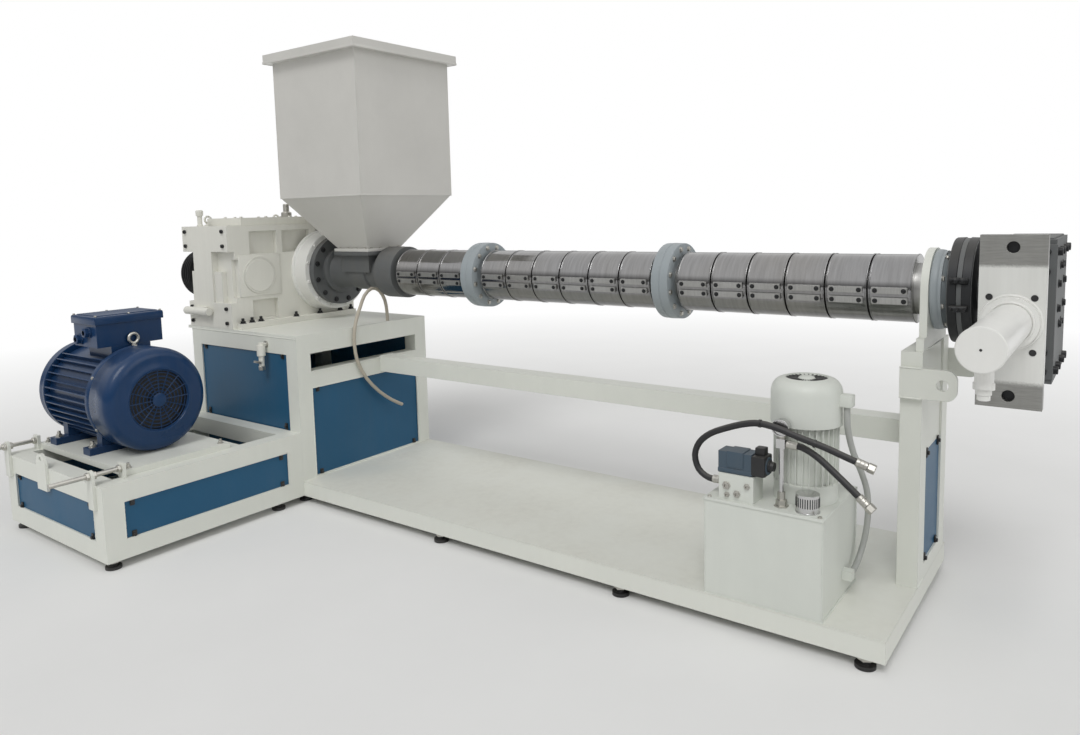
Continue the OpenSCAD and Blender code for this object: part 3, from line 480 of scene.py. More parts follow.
# %% Weld beads
def add_weld(bm, start, end, radius=4.0):
    """A weld bead whose ripples follow from its length."""
    length = (end - start).length / MM
    count = max(4, int(length / 7))
    profile = [(0, 0)]
    for k in range(count + 1):
        ripple = 1.0 + 0.14 * math.sin(k * 2.4) + 0.08 * math.sin(k * 5.1)
        profile.append((length * k / count, radius * ripple))
    profile.append((length, 0))
    add_turned(bm, start, end - start, profile, 8)

# %% [markdown]
# ## From shapes to one piece
# Shapes that belong together become one object, with its finish and its body. Doubles
# are merged and faces turned outwards first, so that the shading and the export are right.

# %% From shapes to one piece
def made(name, bm, finish, body="root", smooth_angle=40):
    """Turns the gathered shapes into one object of the machine."""
    bmesh.ops.remove_doubles(bm, verts=bm.verts, dist=1e-6)
    bmesh.ops.recalc_face_normals(bm, faces=bm.faces)
    mesh = bpy.data.meshes.new(name)
    bm.to_mesh(mesh)
    bm.free()
    mesh.shade_smooth()
    mesh.set_sharp_from_angle(angle=math.radians(smooth_angle))
    mesh.materials.append(finish)
    thing = bpy.data.objects.new(name, mesh)
    bpy.context.scene.collection.objects.link(thing)
    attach(thing, body)
    print(name, "has", len(mesh.polygons), "faces")
    return thing

# %% [markdown]
# ## Where the hoses run
# Two black pressure hoses, a grey conduit and a beige water hose hang on the machine. They could be
# dropped in a simulation, but the photograph shows how they lie, so their points were chosen one
# by one. They repeat the points of the CAD solids.

# %% Hose routes
PRESSURE_ROUTE = (
    (2408, 67, 540), (2350, 67, 540), (2306, 70, 566), (2290, 72, 618), (2310, 70, 670),
    (2358, 64, 712), (2430, 54, 746), (2500, 42, 772), (2560, 31, 784), (2628, 27, 776),
    (2700, 30, 754), (2780, 36, 732), (2860, 42, 704), (2928, 50, 680),
)
RETURN_ROUTE = (
    (2644, 60, 717), (2700, 58, 712), (2757, 50, 688), (2812, 38, 652), (2868, 26, 612),
    (2936, 20, 556),
)
LEVEL_ROUTE = (
    (2808, 208, 838), (2810, 212, 760), (2818, 250, 670), (2828, 320, 580), (2834, 384, 490),
    (2834, 408, 400), (2828, 400, 310), (2818, 366, 240), (2812, 320, 206), (2812, 270, 206),
)
WATER_ROUTE = (
    (-40, 700, 916), (-40, 698, 975), (-30, 676, 1045), (-18, 626, 1105), (-10, 560, 1126),
    (-8, 500, 1090), (-4, 462, 1030), (6, 425, 975), (15, 398, 920), (16, 387, 850),
    (15, 392, 770), (16, 412, 700), (22, 460, 610), (34, 540, 520), (50, 626, 452), (64, 692, 414),
)

# %% [markdown]
# ## A round hose along a smooth curve
# A hose bends smoothly between its points. A curve with a round bevel follows them and runs through
# every point, as the CAD's does, so the hose keeps its real length.

# %% Smooth hoses
def smooth_route(route, steps):
    """Points on the smooth curve through a route, steps to a span."""
    points = [at(*p) for p in route]
    last = len(points) - 1
    line = []
    for i in range(last):
        a, b = points[max(i - 1, 0)], points[i]
        c, d = points[i + 1], points[min(i + 2, last)]
        for k in range(steps):
            t = k / steps
            line.append((2 * b + (c - a) * t + (2 * a - 5 * b + 4 * c - d) * t * t
                         + (3 * b - 3 * c + d - a) * t * t * t) / 2)
    return line + [points[last]]


def hose(node, route, steps, diameter, finish):
    line = smooth_route(route, steps)
    curve = bpy.data.curves.new(node + "_run", "CURVE")
    curve.dimensions = "3D"
    curve.bevel_depth = diameter * MM / 2
    curve.bevel_resolution = 5
    curve.use_fill_caps = True
    spline = curve.splines.new("POLY")
    spline.points.add(len(line) - 1)
    for point, place in zip(spline.points, line):
        point.co = (*place, 1.0)
    spline.use_smooth = True
    curve.materials.append(finish)
    thing = bpy.data.objects.new(node + "_run", curve)
    bpy.context.scene.collection.objects.link(thing)
    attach(thing, "root")
    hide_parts(node)

# %% [markdown]
# ## Hose ends and ties
# A pressure hose ends in a crimped ferrule and a swivel nut. Both are turned parts in line with the
# last stretch of the route, so they follow it when it changes.

# %% Hose ends
def hose_fitting(name, end, before, radius, nut=True):
    """A crimped ferrule and a swivel nut on a hose's end, with the open end of its cone."""
    bm = bmesh.new()
    way = (end - before).normalized()
    start = end - way * 46 * MM
    add_turned(bm, start, way, [(0, radius + 0.6), (2, radius + 3), (12, radius + 3), (13, radius + 2),
                                (15, radius + 3), (25, radius + 3), (26, radius + 2), (28, radius + 3),
                                (38, radius + 3), (40, radius - 2), (46, radius - 2), (46, 0)], 28)
    if nut:
        add_turned(bm, end - way * 6 * MM, way,
                   [(0, radius - 3), (0, radius + 5), (22, radius + 5), (24, radius + 3),
                    (24, radius - 5), (12, radius - 5), (12, 0)], 6)
    return made(name, bm, zinc, smooth_angle=30)


pressure_end = hose_fitting("pressure_hose_end", at(*PRESSURE_ROUTE[-1]), at(*PRESSURE_ROUTE[-2]), 12)
return_end = hose_fitting("return_hose_end", at(*RETURN_ROUTE[-1]), at(*RETURN_ROUTE[-2]), 12)
pressure_start = hose_fitting("pressure_hose_start", at(*PRESSURE_ROUTE[0]) + X_AXIS * 4 * MM,
                              at(*PRESSURE_ROUTE[1]), 12, False)
return_start = hose_fitting("return_hose_start", at(*RETURN_ROUTE[0]) - X_AXIS * 4 * MM,
                            at(*RETURN_ROUTE[1]), 12, False)

bm = bmesh.new()
for place, way in ((at(2560, 31, 784), Vector((1, -0.05, -0.03))),
                   (at(2752, 34, 739), Vector((1, 0.1, -0.28)))):
    add_turned(bm, place, way, [(-4, 12.2), (-4, 14.2), (4, 14.2), (4, 12.2)], 24)
hose_ties = made("hose_ties", bm, black_plastic)

hose("pressure_hose", PRESSURE_ROUTE, 3, 24, black_rubber)
hose("return_hose", RETURN_ROUTE, 5, 24, black_rubber)
hose("level_hose", LEVEL_ROUTE, 4, 22, grey_conduit)
hose("water_hose", WATER_ROUTE, 2, 20, beige_rubber)

# %% [markdown]
# ## Copies by Geometry Nodes
# Bolts, nuts, clips and grip ribs repeat by the dozen. They could be copied in a loop. In a node
# tree each is one small piece that is placed on points, turned and scaled as each point says. The
# tree ends with real geometry, because the export drops instances.

# %% Copies tree
def copies_tree():
    tree = bpy.data.node_groups.new("copies_on_places", "GeometryNodeTree")
    face = tree.interface
    face.new_socket("Places", in_out="INPUT", socket_type="NodeSocketGeometry")
    face.new_socket("Piece", in_out="INPUT", socket_type="NodeSocketObject")
    face.new_socket("Finish", in_out="INPUT", socket_type="NodeSocketMaterial")
    face.new_socket("Copies", in_out="OUTPUT", socket_type="NodeSocketGeometry")
    given = tree.nodes.new("NodeGroupInput")
    result = tree.nodes.new("NodeGroupOutput")
    piece = wire(tree, "GeometryNodeObjectInfo", {"Object": given.outputs["Piece"]})
    turn = wire(tree, "GeometryNodeInputNamedAttribute", {"Name": "turn"}, data_type="FLOAT_VECTOR")
    size = wire(tree, "GeometryNodeInputNamedAttribute", {"Name": "size"}, data_type="FLOAT_VECTOR")
    rotation = wire(tree, "FunctionNodeEulerToRotation", {0: turn.outputs["Attribute"]})
    copies = wire(tree, "GeometryNodeInstanceOnPoints",
                  {"Points": given.outputs["Places"], "Instance": piece.outputs["Geometry"],
                   "Rotation": rotation.outputs[0], "Scale": size.outputs["Attribute"]})
    real = wire(tree, "GeometryNodeRealizeInstances", {"Geometry": copies.outputs[0]})
    painted = wire(tree, "GeometryNodeSetMaterial",
                   {"Geometry": real.outputs[0], "Material": given.outputs["Finish"]})
    tree.links.new(painted.outputs[0], result.inputs["Copies"])
    return tree


COPIES = copies_tree()
SOCKETS = {item.name: item.identifier for item in COPIES.interface.items_tree if item.in_out == "INPUT"}
small_pieces = []

# %% [markdown]
# ## Pieces to copy
# A small piece stands on its origin and points up, in units of its own size, so that one bolt
# serves every size. It stays in the scene only until the last copies are made.

# %% Pieces to copy
def small_piece(name, bm, smooth_angle=35):
    """A piece to copy. It stands on its origin and points up Z, in units of its own size."""
    bmesh.ops.recalc_face_normals(bm, faces=bm.faces)
    mesh = bpy.data.meshes.new(name)
    bm.to_mesh(mesh)
    bm.free()
    mesh.shade_smooth()
    mesh.set_sharp_from_angle(angle=math.radians(smooth_angle))
    thing = bpy.data.objects.new(name, mesh)
    bpy.context.scene.collection.objects.link(thing)
    small_pieces.append(thing)
    return thing


# %% [markdown]
# ## Many copies as one piece
# Each place holds a point, the way it faces and a size. They could be empties with a copy each. As
# attributes of a mesh's points the tree reads them all at once, and the result is one plain mesh.

# %% Many copies as one piece
def copies(name, piece, places, finish, body="root", slot=None):
    """places is a list of (point, facing, size, upward), with the last two optional."""
    mesh = bpy.data.meshes.new(name)
    mesh.from_pydata([tuple(p[0]) for p in places], [], [])
    turn = mesh.attributes.new("turn", "FLOAT_VECTOR", "POINT")
    size = mesh.attributes.new("size", "FLOAT_VECTOR", "POINT")
    for i, place in enumerate(places):
        facing = place[1].normalized()
        scale = place[2] if len(place) > 2 else 1.0
        upward = place[3] if len(place) > 3 else across(facing)[0]
        side = upward.cross(facing).normalized()
        upward = facing.cross(side)
        turn.data[i].vector = Matrix((side, upward, facing)).transposed().to_euler()
        size.data[i].vector = scale if isinstance(scale, tuple) else (scale,) * 3
    thing = bpy.data.objects.new(name, mesh)
    bpy.context.scene.collection.objects.link(thing)
    modifier = thing.modifiers.new("copies", "NODES")
    modifier.node_group = COPIES
    modifier[SOCKETS["Piece"]] = piece
    modifier[SOCKETS["Finish"]] = finish
    bpy.context.view_layer.update()
    graph = bpy.context.evaluated_depsgraph_get()
    plain = bpy.data.meshes.new_from_object(thing.evaluated_get(graph), depsgraph=graph)
    plain.name = name
    thing.modifiers.clear()
    thing.data = plain
    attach(thing, body)
    print(name, "holds", len(places), "copies")
    return thing

# %% [markdown]
# ## The small pieces
# A hexagon bolt with its washer, a socket screw, a stud with its nut and a panel clip make most
# fasteners of the machine. Each is a few turned shapes with few sides, which is enough at their
# size.

# %% Small pieces
def raised(bm, profile, segments):
    """A turned shape along Z in metres per unit, for a small piece."""
    add_turned(bm, Vector(), Z_AXIS, [(a / MM, r / MM) for a, r in profile], segments)


bm = bmesh.new()
raised(bm, [(0, 1.25), (0.16, 1.25), (0.20, 1.2), (0.20, 0)], 20)
raised(bm, [(0.18, 0), (0.18, 1.0), (0.74, 1.0), (0.84, 0.86), (0.84, 0)], 6)
hex_bolt = small_piece("hex_bolt", bm)

bm = bmesh.new()
raised(bm, [(0, 1.0), (0.95, 1.0), (1.05, 0.9), (1.05, 0.56), (0.55, 0.52), (0.55, 0)], 20)
cap_screw = small_piece("cap_screw", bm)

bm = bmesh.new()
raised(bm, [(0, 1.3), (0.14, 1.3), (0.14, 0)], 20)
raised(bm, [(0.14, 0), (0.14, 1.05), (0.85, 1.05), (0.95, 0.92), (0.95, 0)], 6)
raised(bm, [(0.9, 0), (0.9, 0.58), (1.9, 0.58), (2.0, 0.48), (2.0, 0)], 16)
stud_nut = small_piece("stud_nut", bm)

bm = bmesh.new()
add_box(bm, Matrix.Translation((0, 0, 0.15)) @ Matrix.Diagonal((1.0, 1.7, 0.3, 1.0)), 0.08)
raised(bm, [(0.3, 0), (0.3, 0.36), (0.55, 0.36), (0.62, 0.28), (0.62, 0)], 14)
panel_clip = small_piece("panel_clip", bm)

# %% [markdown]
# ## Bolts around round flanges
# Round flanges carry their bolts on a circle. Typed places would have to be typed again for each
# flange. A centre, a radius and a count give them all.

# %% Bolt circles
AXIS_Y, AXIS_H = 675.0, 1218.0


def on_axis(x):
    """A place on the line through the barrel."""
    return at(x, AXIS_Y, AXIS_H)


def circle(centre, axis, radius, count, size, start=0.5):
    first, second = across(axis)
    places = []
    for k in range(count):
        out = round_way(first, second, math.tau * (k + start) / count)
        places.append((centre + out * radius * MM, axis, size * MM, out))
    return places


JOINTS = (739, 1871)
JOINT_WIDTH = 80
flange_bolts = []
for x in JOINTS:
    flange_bolts += circle(on_axis(x), -X_AXIS, 149, 12, 11)
    flange_bolts += circle(on_axis(x + JOINT_WIDTH), X_AXIS, 149, 12, 11)
flange_bolts += circle(on_axis(3039), X_AXIS, 131, 8, 10)
copies("joint_flange_bolts", hex_bolt, flange_bolts, zinc)

feed_bolts = circle(on_axis(-413), X_AXIS, 186, 12, 13)
feed_bolts += circle(on_axis(48), -X_AXIS, 126, 8, 9)
copies("feed_flange_bolts", hex_bolt, feed_bolts, black_steel)

housing_bolts = circle(on_axis(-455), X_AXIS, 226, 12, 9)
copies("thrust_housing_bolts", cap_screw, housing_bolts, housing_white)

# %% [markdown]
# ## Heater bands
# Each heater band is a polished jacket with rolled edges. The CAD has its plain ring, and one
# profile, turned for every band, lays the jacket over it.

# %% Band jackets
BAND_LENGTH = 161.0
BAND_STEP = 167.0
REAR_START, MIDDLE_START, FRONT_START = 216.0, 847.0, 1979.0
SUPPORT_X, END_ROOM, BAND_GAP = 2973.0, 28.0, 6.0
FRONT_BAND = (SUPPORT_X - END_ROOM - FRONT_START) / 6 - BAND_GAP
bands = [(REAR_START + i * BAND_STEP, BAND_LENGTH) for i in range(3)]
bands += [(MIDDLE_START + i * BAND_STEP, BAND_LENGTH) for i in range(6)]
bands += [(FRONT_START + i * (FRONT_BAND + BAND_GAP), FRONT_BAND) for i in range(6)]
JACKET_R = 130.0

bm = bmesh.new()
for start, length in bands:
    add_turned(bm, on_axis(start), X_AXIS,
               [(0, JACKET_R - 3), (0, JACKET_R + 1.5), (1.5, JACKET_R + 3), (4.5, JACKET_R + 3),
                (6, JACKET_R + 0.8), (length - 6, JACKET_R + 0.8), (length - 4.5, JACKET_R + 3),
                (length - 1.5, JACKET_R + 3), (length, JACKET_R + 1.5), (length, JACKET_R - 3)], 72)
made("band_jackets", bm, heater_steel, smooth_angle=25)

# %% [markdown]
# ## Band clamps
# A split clamp with four screws draws each band tight, on the side that faces the operator. The
# bars are tilted a little down, as in the photograph, and the screws are copies.

# %% Band clamps
CLAMP_TILT = math.radians(8)
clamp_out = Vector((0, -math.cos(CLAMP_TILT), -math.sin(CLAMP_TILT)))
clamp_up = Vector((0, -math.sin(CLAMP_TILT), math.cos(CLAMP_TILT)))
bm = bmesh.new()
clamp_screws = []
for start, length in bands:
    middle = on_axis(start + length / 2)
    turn = Matrix((X_AXIS, clamp_out, clamp_up)).transposed().to_4x4()
    for side in (-1, 1):
        centre = middle + clamp_out * (JACKET_R + 4) * MM + clamp_up * side * 20 * MM
        bar = Matrix.Diagonal(((length - 26) * MM, 0.011, 0.026, 1.0))
        add_box(bm, Matrix.Translation(centre) @ turn @ bar, 0.002)
        for part in (0.17, 0.83):
            head = on_axis(start + length * part) + clamp_out * (JACKET_R + 9.5) * MM
            clamp_screws.append((head + clamp_up * side * 20 * MM, clamp_out, 7.5 * MM))
made("band_clamps", bm, turned_steel)
copies("band_clamp_screws", hex_bolt, clamp_screws, black_steel, slot="plated_steel")

# %% [markdown]
# ## Panel clips
# The blue panels are held near their corners by black clips that grip the frame's tube. Each panel
# is given by the way it faces and its edges, and the places of its clips follow.

# %% Panel clips
def clips(facing, low, high, bottom, top, wall):
    """Four clips near a panel's corners. wall is the panel's place along the way that it faces."""
    places = []
    for along in (low + 40, high - 40):
        for z in (bottom + 8, top - 8):
            x, y = (wall, along) if facing.x else (along, wall)
            places.append((at(x, y, z), facing, 22 * MM, Z_AXIS))
    return places


clip_places = clips(-Y_AXIS, -910, -90, 130, 300, -1046) + clips(X_AXIS, -964, -90, 130, 300, -8)
clip_places += clips(-X_AXIS, -964, -90, 130, 300, -992) + clips(-Y_AXIS, -910, -90, 400, 810, 8)
clip_places += clips(Y_AXIS, -910, -90, 130, 810, 967) + clips(X_AXIS, 90, 885, 130, 620, -8)
clip_places += clips(-X_AXIS, 90, 885, 130, 620, -992) + clips(X_AXIS, 558, 842, 180, 610, 2992)
copies("panel_clips", panel_clip, clip_places, black_plastic)

# %% [markdown]
# ## Fan cowl
# The motor's fan turns under a pressed cowl with a dished face. The CAD's cowl is plain, so this
# shell takes its place. Its round shoulder is a quarter circle in the profile.

# %% Fan cowl
MOTOR_Y, MOTOR_Z = -645.0, 676.3
COWL_BACK, COWL_FACE = -432.0, -220.0
motor_middle = at(COWL_BACK, MOTOR_Y, MOTOR_Z)
cowl_l = COWL_FACE - COWL_BACK

bm = bmesh.new()
outer = [(0, 249), (0, 255), (24, 255), (26, 253), (30, 253), (32, 255), (cowl_l - 58, 255)]
for k in range(1, 9):
    angle = math.pi / 2 * k / 8
    outer.append((cowl_l - 58 + 50 * math.sin(angle), 205 + 50 * math.cos(angle)))
outer += [(cowl_l - 4, 168), (cowl_l - 1, 160), (cowl_l - 1, 152), (cowl_l - 8, 147), (cowl_l - 14, 147),
          (cowl_l - 14, 152), (cowl_l - 16, 200), (cowl_l - 60, 247), (0, 249)]
add_turned(bm, motor_middle, X_AXIS, outer, 96)
cowl = made("fan_cowl_shell", bm, motor_blue, "motor", smooth_angle=50)
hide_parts("motor_fan_cowl")

# %% [markdown]
# ## Fan guard
# Air goes in through a guard of wire rings and spokes. Holes could be cut through a disc, but wires
# before a black disc, a painted shade that stands for the fan and the dark inside of the cowl, look the
# same from outside and need few faces.

# %% Fan guard
bm = bmesh.new()
guard_face = at(COWL_FACE - 10, MOTOR_Y, MOTOR_Z)
for radius in (44, 62, 80, 98, 116, 134, 146):
    add_ring(bm, guard_face, X_AXIS, radius, 2.6, 72, 6)
for k in range(16):
    out = round_way(Y_AXIS, Z_AXIS, math.tau * k / 16)
    add_rod(bm, guard_face + out * 30 * MM + X_AXIS * 3 * MM,
            guard_face + out * 150 * MM + X_AXIS * 3 * MM, 2.4, 0.5, 8)
add_turned(bm, guard_face - X_AXIS * 4 * MM, X_AXIS, [(0, 0), (0, 34), (9, 34), (11, 30), (11, 0)], 40)
made("fan_guard", bm, motor_blue, "motor")

# Painted shade: a black disc behind the guard stands for the fan and the dark inside of the cowl.
bm = bmesh.new()
add_turned(bm, at(COWL_FACE - 32, MOTOR_Y, MOTOR_Z), X_AXIS, [(0, 0), (0, 236), (2, 236), (2, 0)], 64)
made("fan_backing", bm, black_plastic, "motor")

cowl_screws = []
for k in range(6):
    out = round_way(Y_AXIS, Z_AXIS, math.tau * (k + 0.5) / 6)
    cowl_screws.append((at(COWL_BACK + 14, MOTOR_Y, MOTOR_Z) + out * 254 * MM, out, 7 * MM))
copies("cowl_screws", hex_bolt, cowl_screws, zinc, "motor")

# %% [markdown]
# ## Motor castings
# An end shield and a ring close the cast body, and two eye bolts on bosses lift it. All are turned
# parts on the motor's own lines.

# %% Motor body
bm = bmesh.new()
BODY_BACK = -902.0
shield = [(0, 120), (6, 128), (22, 132), (24, 170), (30, 178), (58, 196), (62, 236), (66, 246),
          (88, 250), (96, 250), (98, 244), (98, 200)]
add_turned(bm, at(BODY_BACK - 94, MOTOR_Y, MOTOR_Z), X_AXIS, shield, 80)
ring_profile = [(0, 238), (0, 250), (2, 252), (16, 252), (18, 250), (18, 238), (0, 238)]
add_turned(bm, at(COWL_BACK - 19, MOTOR_Y, MOTOR_Z), X_AXIS, ring_profile, 80)
for x in (-800, -500):
    add_turned(bm, at(x, MOTOR_Y, MOTOR_Z + 214), Z_AXIS, [(0, 34), (34, 30), (38, 24), (38, 0)], 24)
made("motor_castings", bm, motor_blue, "motor")

bm = bmesh.new()
for x in (-842, -446):
    foot = at(x, MOTOR_Y + 6, MOTOR_Z + 246)
    add_turned(bm, foot - Z_AXIS * 10 * MM, Z_AXIS, [(0, 22), (12, 22), (16, 12), (30, 11), (30, 0)], 24)
    add_ring(bm, foot + Z_AXIS * 44 * MM, X_AXIS, 24, 8, 32, 12)
made("motor_eye_bolts", bm, zinc, "motor")

# %% [markdown]
# ## Terminal box
# The terminal box has a cast lid with a raised field, lid screws and two cable glands. Two blocks
# make the lid, and the glands are turned with six sides.

# %% Terminal box
bm = bmesh.new()
box_low, box_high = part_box("motor_terminal_box")
box_x0, box_x1 = -701.5, -452.5
box_y0, box_y1 = MOTOR_Y - 174.5, MOTOR_Y + 174.5
box_top = box_high.z / MM
add_block(bm, (box_x0, box_y0, box_top - 37), (box_x1, box_y1, box_top + 4), 9)
add_block(bm, (box_x0 + 22, box_y0 + 22, box_top + 2), (box_x1 - 22, box_y1 - 22, box_top + 8), 4)
for z in (0.30, 0.62):
    height = box_low.z / MM + z * 120
    add_turned(bm, at((box_x0 + box_x1) / 2 + (40 if z > 0.5 else -50), MOTOR_Y - 165, height), -Y_AXIS,
               [(0, 30), (6, 30), (8, 25), (26, 25), (28, 22), (28, 14)], 6)
made("terminal_box_lid", bm, motor_blue, "motor")
lid_screws = [(at(x, y, box_top + 4), Z_AXIS, 6 * MM) for x in (box_x0 + 12, box_x1 - 12)
              for y in (box_y0 + 12, (box_y0 + box_y1) / 2, box_y1 - 12)]
copies("terminal_lid_screws", cap_screw, lid_screws, zinc, "motor")

# %% [markdown]
# ## Motor feet and base bolts
# Studs with nuts hold the motor to its base. They ride on the motor's body, because the base slides
# with it when the draw screws are turned.

# %% Motor feet
BASE_TOP = 418.3
foot_bolts = [(at(x, MOTOR_Y + y, BASE_TOP + 34), Z_AXIS, 15 * MM) for x in (-487, -847)
              for y in (-215, 215)]
foot_bolts += [(at(x, y, BASE_TOP), Z_AXIS, 12 * MM) for x in (-930, -108) for y in (-880, -410)]
copies("motor_foot_bolts", stud_nut, foot_bolts, zinc, "motor")

# %% [markdown]
# ## Belt tension screws
# Two threaded screws draw the motor's base along the stand. Nuts at the stand's lugs stay with the
# stand, and nuts at the base move with it. The thread is a row of ridges on one turned part,
# because a true helix would not show at this size.

# %% Draw screw nuts and threads
SCREW_X, SCREW_H = (-959, -79), 434.0
lug_nuts, base_nuts = [], []
for x in SCREW_X:
    lug_nuts += [(at(x, -1068, SCREW_H), -Y_AXIS, 17 * MM), (at(x, -1054, SCREW_H), Y_AXIS, 17 * MM)]
    base_nuts += [(at(x, -929.5, SCREW_H), -Y_AXIS, 17 * MM)]
bm = bmesh.new()
raised(bm, [(0, 0.62), (0, 1.0), (0.1, 1.1), (0.8, 1.1), (0.9, 1.0), (0.9, 0.62)], 6)
plain_nut = small_piece("plain_nut", bm)
copies("stand_lug_nuts", plain_nut, lug_nuts, zinc)
copies("motor_base_nuts", plain_nut, base_nuts, zinc, "motor")

bm = bmesh.new()
for x in SCREW_X:
    thread = []
    for k in range(75):
        thread += [(k * 4.0, 9.6), (k * 4.0 + 2.0, 11.0)]
    add_turned(bm, at(x, -1232, SCREW_H), Y_AXIS, [(-1.5, 0), (-1.5, 8)] + thread, 14)
made("draw_screw_threads", bm, zinc, "motor", smooth_angle=70)

# %% [markdown]
# ## Gearbox bolts
# Studs hold the gearbox to its stand, and screws hold its covers. They stand in rows, so short
# lists of X, Y and height give their places.

# %% Gearbox bolts
GEAR_TOP, GEAR_FOOT = 1512.0, 948.0
foot_studs = [(at(-545, y, GEAR_FOOT), Z_AXIS, 15 * MM) for y in (50, 110, 170, 420, 600, 760, 850)]
copies("gearbox_foot_bolts", stud_nut, foot_studs, black_steel, slot="plated_steel")
face_screws = [(at(x, 0, z), -Y_AXIS, 11 * MM) for x in (-1005, -620) for z in (1480, 1396)]
face_screws += [(at(x, 0, z), -Y_AXIS, 11 * MM) for x in (-975, -620) for z in (1034, 950)]
copies("gearbox_face_screws", cap_screw, face_screws, black_steel, slot="plated_steel")
gear_bolts = [(at(x, y, GEAR_TOP + 44), Z_AXIS, 9 * MM) for x in (-936, -778, -619) for y in (128, 632)]
gear_bolts += [(at(x, y, GEAR_TOP + 44), Z_AXIS, 9 * MM) for x in (-936, -619) for y in (296, 464)]
copies("gearbox_bolts", hex_bolt, gear_bolts, cast_cream)

# %% [markdown]
# ## Gearbox castings
# The gearbox has a round bearing cap on a raised pad, lifting eyes, a dipstick and an oil filler.
# What shares the cream paint is one piece, and the filler is plated.

# %% Gearbox castings
bm = bmesh.new()
add_turned(bm, at(-566, 195, 1218), X_AXIS, [(0, 107), (3, 107), (3, 101), (2, 100), (2, 97), (5, 95),
                                             (5, 0)], 64)
add_block(bm, (-577, 62, 1096), (-569, 340, 1340), 4)
for y in (150, 640):
    add_turned(bm, at(-1000, y, GEAR_TOP), Z_AXIS, [(0, 22), (6, 22), (8, 14), (16, 12), (16, 0)], 24)
    add_ring(bm, at(-1000, y, GEAR_TOP + 38), X_AXIS, 20, 6.5, 32, 10)
add_turned(bm, at(-905, 40, GEAR_TOP), Z_AXIS,
           [(0, 18), (8, 18), (10, 14), (60, 14), (62, 20), (88, 22), (96, 16), (96, 0)], 28)
made("gearbox_castings", bm, cast_cream)

bm = bmesh.new()
add_turned(bm, at(-655, 470, GEAR_TOP + 44), Z_AXIS,
           [(0, 31), (26, 31), (28, 28), (34, 18), (76, 18), (80, 14), (80, 0)], 28)
made("oil_plugs", bm, zinc)

# %% [markdown]
# ## Drain valve
# A small valve with a flat lever hangs before the panel under the gearbox. Hexagons and short rods
# are enough for it at this size.

# %% Drain valve
bm = bmesh.new()
add_turned(bm, at(-265, 0, 856), -Y_AXIS, [(0, 22), (5, 22), (7, 14), (40, 14)], 6)
add_rod(bm, at(-265, -34, 826), at(-265, -34, 796), 20, 2, 6)
add_rod(bm, at(-265, -34, 740), at(-265, -34, 716), 20, 3, 6)
add_block(bm, (-300, -62, 758), (-230, -54, 770), 2)
add_rod(bm, at(-265, -34, 764), at(-265, -58, 764), 6, 1, 12)
made("drain_valve", bm, zinc)

# %% [markdown]
# ## Hopper trim
# The hopper is folded sheet with stiff rims: an edge on the lid, a band at the waist and a bolted
# flange at the outlet. Four strips go around at each height, and thin rods round the upright
# corners.

# %% Hopper trim
HOP_X, HOP_L, HOP_D = -140.0, 700.0, 720.0
CONE_TOP, BODY_TOP, OUTLET_Z = 1666.0, 2438.0, 1344.0


def hopper_band(bm, half_l, half_d, z0, z1, out, chamfer):
    """Four strips around the hopper at one height, as far out as told."""
    x0, x1 = HOP_X - half_l, HOP_X + half_l
    y0, y1 = AXIS_Y - half_d, AXIS_Y + half_d
    add_block(bm, (x0 - out, y0 - out, z0), (x1 + out, y0 + 1, z1), chamfer)
    add_block(bm, (x0 - out, y1 - 1, z0), (x1 + out, y1 + out, z1), chamfer)
    add_block(bm, (x0 - out, y0, z0), (x0 + 1, y1, z1), chamfer)
    add_block(bm, (x1 - 1, y0, z0), (x1 + out, y1, z1), chamfer)


bm = bmesh.new()
hopper_band(bm, HOP_L / 2 + 40, HOP_D / 2 + 40, 2436, 2449, 2.5, 1.5)
hopper_band(bm, HOP_L / 2, HOP_D / 2, CONE_TOP - 6, CONE_TOP + 3, 1.2, 0.8)
hopper_band(bm, 122, 122, OUTLET_Z - 2, OUTLET_Z + 16, 26, 2)
for x in (HOP_X - HOP_L / 2, HOP_X + HOP_L / 2):
    for y in (AXIS_Y - HOP_D / 2, AXIS_Y + HOP_D / 2):
        add_rod(bm, at(x, y, CONE_TOP), at(x, y, BODY_TOP), 2.2, 0.5, 10)
made("hopper_trim", bm, hopper_white)
outlet_bolts = []
for k in (-110, -37, 37, 110):
    outlet_bolts += [(at(HOP_X + k, AXIS_Y + s * 136, OUTLET_Z + 16), Z_AXIS, 9 * MM) for s in (-1, 1)]
    outlet_bolts += [(at(HOP_X + s * 136, AXIS_Y + k, OUTLET_Z + 16), Z_AXIS, 9 * MM) for s in (-1, 1)]
copies("hopper_flange_bolts", hex_bolt, outlet_bolts, zinc)

# %% [markdown]
# ## Feed section
# Under the hopper the feed casting is narrow between its flanges and has a square pad and two ribs.
# Its necks are one profile around the barrel's line.

# %% Feed castings
bm = bmesh.new()
add_turned(bm, on_axis(-413), X_AXIS,
           [(0, 140), (20, 138), (24, 132), (28, 112), (40, 104), (200, 103), (204, 112), (330, 112),
            (334, 103), (452, 103), (458, 118), (461, 130)], 64)
add_block(bm, (HOP_X - 150, AXIS_Y - 150, OUTLET_Z - 26), (HOP_X + 150, AXIS_Y + 150, OUTLET_Z - 2), 4)
for y in (AXIS_Y - 108, AXIS_Y + 100):
    add_block(bm, (HOP_X - 80, y, AXIS_H - 10), (HOP_X + 80, y + 8, OUTLET_Z - 20), 3)
made("feed_castings", bm, cast_grey)

# %% [markdown]
# ## Thrust housing
# The thrust bearing's housing ends in a cover with a machined step. The light catches its edges, so
# the profile gives each of them a small chamfer.

# %% Thrust cover
bm = bmesh.new()
add_turned(bm, on_axis(-575), X_AXIS,
           [(0, 252), (14, 252), (18, 248), (20, 240), (96, 236), (108, 241), (118, 241), (121, 238),
            (121, 205), (112, 200), (112, 120)], 80)
made("thrust_cover", bm, housing_white)

